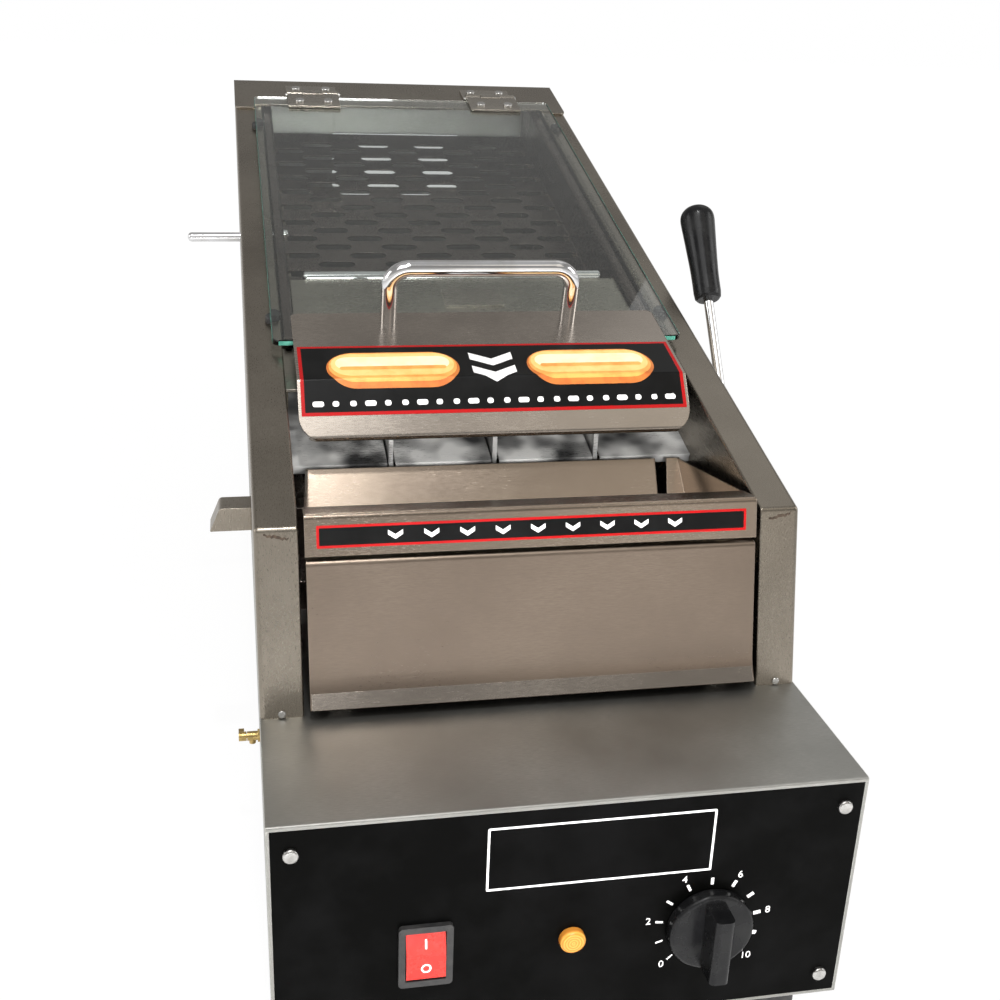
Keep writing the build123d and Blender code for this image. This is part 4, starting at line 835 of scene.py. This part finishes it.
# %% Dial print
knob_low, knob_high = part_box("thermostat_knob")
dial_x = (knob_low.x + knob_high.x) / 2
dial_up = (knob_low.z + knob_high.z) / 2 - shelf_top
DIAL_TICKS, DIAL_START, DIAL_SWEEP = 11, math.radians(225), math.radians(270)
TICK_INNER, TICK_OUTER, NUMBER_RADIUS = 22 * MM, 25.5 * MM, 29 * MM
for index in range(DIAL_TICKS):
    angle = DIAL_START - DIAL_SWEEP * index / (DIAL_TICKS - 1)
    half = (0.35 + 0.07 * index) * MM
    across = Vector((-math.sin(angle), math.cos(angle)))
    along = Vector((math.cos(angle), math.sin(angle)))
    corners = [along * TICK_INNER - across * half, along * TICK_OUTER - across * half,
               along * TICK_OUTER + across * half, along * TICK_INNER + across * half]
    film(f"dial_tick_{index}", [(c.x + dial_x, c.y + dial_up) for c in corners], on_panel,
         ON_SHEET, [], ink_white, "cabinet")
    if index % 2 == 0:
        data = bpy.data.curves.new(f"dial_number_{index}", "FONT")
        data.body = str(index)
        data.size, data.extrude = 5.2 * MM, 0.05 * MM
        data.align_x, data.align_y = "CENTER", "CENTER"
        data.materials.append(ink_white)
        number = bpy.data.objects.new(data.name, data)
        number.location = on_panel(dial_x + along.x * NUMBER_RADIUS,
                                   dial_up + along.y * NUMBER_RADIUS, 0.06 * MM)
        number.rotation_euler = (math.pi / 2, 0, 0)
        bpy.context.scene.collection.objects.link(number)
        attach(number, "cabinet")
print("dial:", DIAL_TICKS, "ticks over", round(math.degrees(DIAL_SWEEP)), "degrees")

# %% [markdown]
# ## Marks on the switch
# The rocker has two flats that meet in a ridge. The upper one carries a bar and the lower one
# a ring, the usual signs for on and off. Both ride on the rocker, so they tip with it.

# %% Switch marks
ROCKER_X, ROCKER_RIDGE = -66 * MM, Vector((0, panel_face - 3.63 * MM, shelf_top - 71.07 * MM))
ROCKER_FLATS = {"upper": (math.radians(15.3), 1), "lower": (math.radians(0.7), -1)}
SIGN_OFFSET, SIGN_HEIGHT, SIGN_LIFT = 6 * MM, 4.6 * MM, 0.03 * MM
BAR_WIDTH, RING_HOLE = 0.9 * MM, 3.0 * MM


def on_rocker(flat):
    """Placer for films on one flat of the rocker, measured from the ridge between the two."""
    tilt, way = ROCKER_FLATS[flat]
    along = Vector((0, way * math.sin(tilt), way * math.cos(tilt)))
    out = Vector((0, -math.cos(tilt), math.sin(tilt)))
    return lambda x, y, lift: ROCKER_RIDGE + Vector((x + ROCKER_X, 0, 0)) + along * y + out * lift


film("rocker_bar", moved(rounded_box(BAR_WIDTH, SIGN_HEIGHT, 0.3 * MM), 0, SIGN_OFFSET),
     on_rocker("upper"), SIGN_LIFT, [], ink_white, "rocker")
film("rocker_ring", moved(rounded_box(SIGN_HEIGHT, SIGN_HEIGHT, 2.29 * MM), 0, SIGN_OFFSET),
     on_rocker("lower"), SIGN_LIFT, [], ink_white, "rocker",
     hole=moved(rounded_box(RING_HOLE, RING_HOLE, 1.49 * MM), 0, SIGN_OFFSET))
print("switch signs are", round(SIGN_HEIGHT * 1000, 1), "mm tall")

# %% [markdown]
# ## The floor
# The steamer stands on a plain pale floor that fades into a white room. A floor lit by lamps
# alone is never evenly white, so part of it glows for the eye: FLOOR_NEAR of it close to the
# steamer, where the shadow has to stay, and all of it further out. Steel mirrors a smaller
# share of that glow, MIRRORED, and nothing else is lit by it.

# %% Floor
FLOOR_REACH = 9.0
FLOOR_GLOW, FLOOR_NEAR, MIRRORED = 1.02, 0.92, 0.35
FADE_START, FADE_STOP = 0.35, 1.6


def pale_floor():
    """A wide pale plane: white to the eye, but the steamer's shadow stays on it."""
    mesh = bpy.data.meshes.new("floor")
    corners = [(x * FLOOR_REACH, y * FLOOR_REACH, 0) for x, y in ((-1, -1), (1, -1), (1, 1), (-1, 1))]
    mesh.from_pydata(corners, [], [(0, 1, 2, 3)])
    floor = bpy.data.objects.new("floor", mesh)
    bpy.context.scene.collection.objects.link(floor)
    matt = handled("floor_matt", (0.87, 0.87, 0.87), (0.84, 0.84, 0.84), 0.7, 0.1, 3, 0.0,
                   shine=0.1)
    tree = matt.node_tree
    lit = tree.nodes["Principled BSDF"]
    white = add_node(tree, "ShaderNodeEmission", Strength=FLOOR_GLOW)
    path = add_node(tree, "ShaderNodeLightPath")
    mirrored = add_node(tree, "ShaderNodeMath", operation="MULTIPLY")
    mirrored.inputs[1].default_value = MIRRORED
    tree.links.new(path.outputs["Is Glossy Ray"], mirrored.inputs[0])
    place = add_node(tree, "ShaderNodeTexCoord")
    away = add_node(tree, "ShaderNodeVectorMath", operation="LENGTH")
    tree.links.new(place.outputs["Object"], away.inputs[0])
    fade = add_node(tree, "ShaderNodeMapRange", From_Min=FADE_START, From_Max=FADE_STOP,
                    To_Min=FLOOR_NEAR, To_Max=1.0)
    tree.links.new(away.outputs["Value"], fade.inputs["Value"])
    share = add_node(tree, "ShaderNodeMath", operation="MULTIPLY_ADD")
    tree.links.new(path.outputs["Is Camera Ray"], share.inputs[0])
    tree.links.new(fade.outputs[0], share.inputs[1])
    tree.links.new(mirrored.outputs[0], share.inputs[2])
    blend = add_node(tree, "ShaderNodeMixShader")
    tree.links.new(share.outputs[0], blend.inputs[0])
    tree.links.new(lit.outputs[0], blend.inputs[1])
    tree.links.new(white.outputs[0], blend.inputs[2])
    tree.links.new(blend.outputs[0], tree.nodes["Material Output"].inputs["Surface"])
    mesh.materials.append(matt)
    return floor


print("floor is", round(2 * FLOOR_REACH), "m wide:", pale_floor().name)

# %% [markdown]
# ## The room
# Brushed sheets show what is around them, so the room is a gradient and not one grey: white at
# the horizon, dim above it and a little brighter overhead, each stop given by its height from
# 0 at the horizon to 1 overhead. The eye sees it white, and so does a ray that has only passed
# through the lid. Deeper rays see the gradient, or the white would flood in under the glass.

# %% Room
HORIZON, OVERHEAD = 1.0, 0.42
SKY_STOPS = ((0.05, 0.9), (0.16, 0.55), (0.34, 0.38), (0.76, 0.28), (0.86, 0.5))
SKY_WARMTH = (1.0, 0.985, 0.965)
CLEAR_DEPTH = 2.5


def room():
    """White to the eye and through glass; a pale horizon and greyer ceiling for the rest."""
    world = bpy.data.worlds.new("room")
    bpy.context.scene.world = world
    world.use_nodes = True
    tree = world.node_tree
    light = tree.nodes["Background"]
    place = add_node(tree, "ShaderNodeTexCoord")
    split = add_node(tree, "ShaderNodeSeparateXYZ")
    tree.links.new(place.outputs["Generated"], split.inputs[0])
    ramp = add_node(tree, "ShaderNodeValToRGB")
    tree.links.new(split.outputs["Z"], ramp.inputs["Fac"])
    stops = ramp.color_ramp.elements
    stops[0].position, stops[0].color = 0.0, (HORIZON, HORIZON, HORIZON, 1)
    stops[1].position, stops[1].color = 1.0, (OVERHEAD, OVERHEAD, OVERHEAD, 1)
    for position, value in SKY_STOPS:
        stop = stops.new(position)
        stop.color = (*(value * channel for channel in SKY_WARMTH), 1)
    path = add_node(tree, "ShaderNodeLightPath")
    shallow = add_node(tree, "ShaderNodeMath", operation="LESS_THAN")
    tree.links.new(path.outputs["Ray Depth"], shallow.inputs[0])
    shallow.inputs[1].default_value = CLEAR_DEPTH
    seen = add_node(tree, "ShaderNodeMath", operation="MULTIPLY_ADD")
    tree.links.new(path.outputs["Is Transmission Ray"], seen.inputs[0])
    tree.links.new(shallow.outputs[0], seen.inputs[1])
    tree.links.new(path.outputs["Is Camera Ray"], seen.inputs[2])
    colour = mix_colours(tree, seen.outputs[0], ramp.outputs["Color"], (1, 1, 1))
    tree.links.new(colour, light.inputs["Color"])
    return world


print("room has", len(room().node_tree.nodes), "nodes")

# %% [markdown]
# ## Lamps
# The key lamp is a wide one, above and to the left of the viewer. Weaker ones at both sides,
# from the right above and from behind give the folds their bright lines. A small lamp overhead
# draws the hood's crisp shadow on the tray. The slot lamp only fills the gap under the hood, so
# the sheets don't mirror it. Each row is a name, a place, what it looks at, its width in
# metres, its watts and its colour.

# %% Lamps
WHITE, WARM, WARMER = (1, 1, 1), (1, 0.92, 0.8), (1, 0.9, 0.8)
LAMPS = (
    ("key_lamp", (-0.62, -1.25, 1.95), (0, -0.1, 0.15), 1.3, 13, WHITE),
    ("left_lamp", (-1.7, 0.1, 0.9), (0, 0, 0.15), 0.8, 5.6, WHITE),
    ("right_lamp", (1.7, -0.2, 1.0), (0, 0, 0.15), 0.8, 6, WHITE),
    ("top_lamp", (-0.1, -0.65, 2.1), (0, -0.13, 0.2), 0.07, 10, WHITE),
    ("right_top_lamp", (0.85, -1.2, 1.95), (0, -0.1, 0.15), 0.9, 1.6, WARM),
    ("rear_right_lamp", (0.85, 0.95, 1.75), (0, 0, 0.2), 0.8, 0.9, WHITE),
    ("front_lamp", (0.55, -1.7, 0.5), (0, -0.1, 0.2), 0.6, 0.5, WARMER),
    ("slot_lamp", (0.0, -1.5, 0.46), (0, -0.1, 0.22), 0.4, 26, WHITE),
)


def soft_lamp(name, place, target, size, watts, colour):
    """A square area lamp that looks at a point."""
    data = bpy.data.lights.new(name, "AREA")
    data.energy, data.size, data.color = watts, size, colour
    lamp = bpy.data.objects.new(name, data)
    lamp.location = place
    lamp.rotation_euler = (Vector(target) - Vector(place)).to_track_quat("-Z", "Y").to_euler()
    bpy.context.scene.collection.objects.link(lamp)
    return lamp


lamps = {row[0]: soft_lamp(*row) for row in LAMPS}
lamps["slot_lamp"].visible_glossy = False
print("lamps:", len(lamps), "with", round(sum(row[4] for row in LAMPS), 1), "watts in all")

# %% [markdown]
# ## The camera
# The steamer is looked at from above its front left corner. The camera's place is given from
# the foot of the posts and the top of the shelf, so it keeps its view if the base changes
# height, and its turn is three angles.

# %% Camera
CAMERA_PLACE = Vector((-0.1348, post_foot - 0.5336, shelf_top + 0.322))
CAMERA_YAW, CAMERA_PITCH, CAMERA_ROLL = (math.radians(a) for a in (11.87, 21.60, 2.24))
FOCAL_PIXELS, IMAGE_PIXELS, SENSOR = 1294.0, 1000.0, 36.0


def viewer():
    """The camera, turned by yaw, pitch and roll."""
    data = bpy.data.cameras.new("viewer")
    data.sensor_width = SENSOR
    data.lens = SENSOR * FOCAL_PIXELS / IMAGE_PIXELS
    camera = bpy.data.objects.new("viewer", data)
    ahead = Vector((math.sin(CAMERA_YAW) * math.cos(CAMERA_PITCH),
                    math.cos(CAMERA_YAW) * math.cos(CAMERA_PITCH), -math.sin(CAMERA_PITCH)))
    level = Vector((math.cos(CAMERA_YAW), -math.sin(CAMERA_YAW), 0))
    upright = level.cross(ahead)
    right = math.cos(CAMERA_ROLL) * level + math.sin(CAMERA_ROLL) * upright
    up = math.cos(CAMERA_ROLL) * upright - math.sin(CAMERA_ROLL) * level
    turn = Matrix((right, up, -ahead)).transposed()
    camera.matrix_world = Matrix.Translation(CAMERA_PLACE) @ turn.to_4x4()
    bpy.context.scene.collection.objects.link(camera)
    bpy.context.scene.camera = camera
    return camera


print("lens:", round(viewer().data.lens, 2), "mm")
bpy.context.scene.view_settings.view_transform = "Standard"
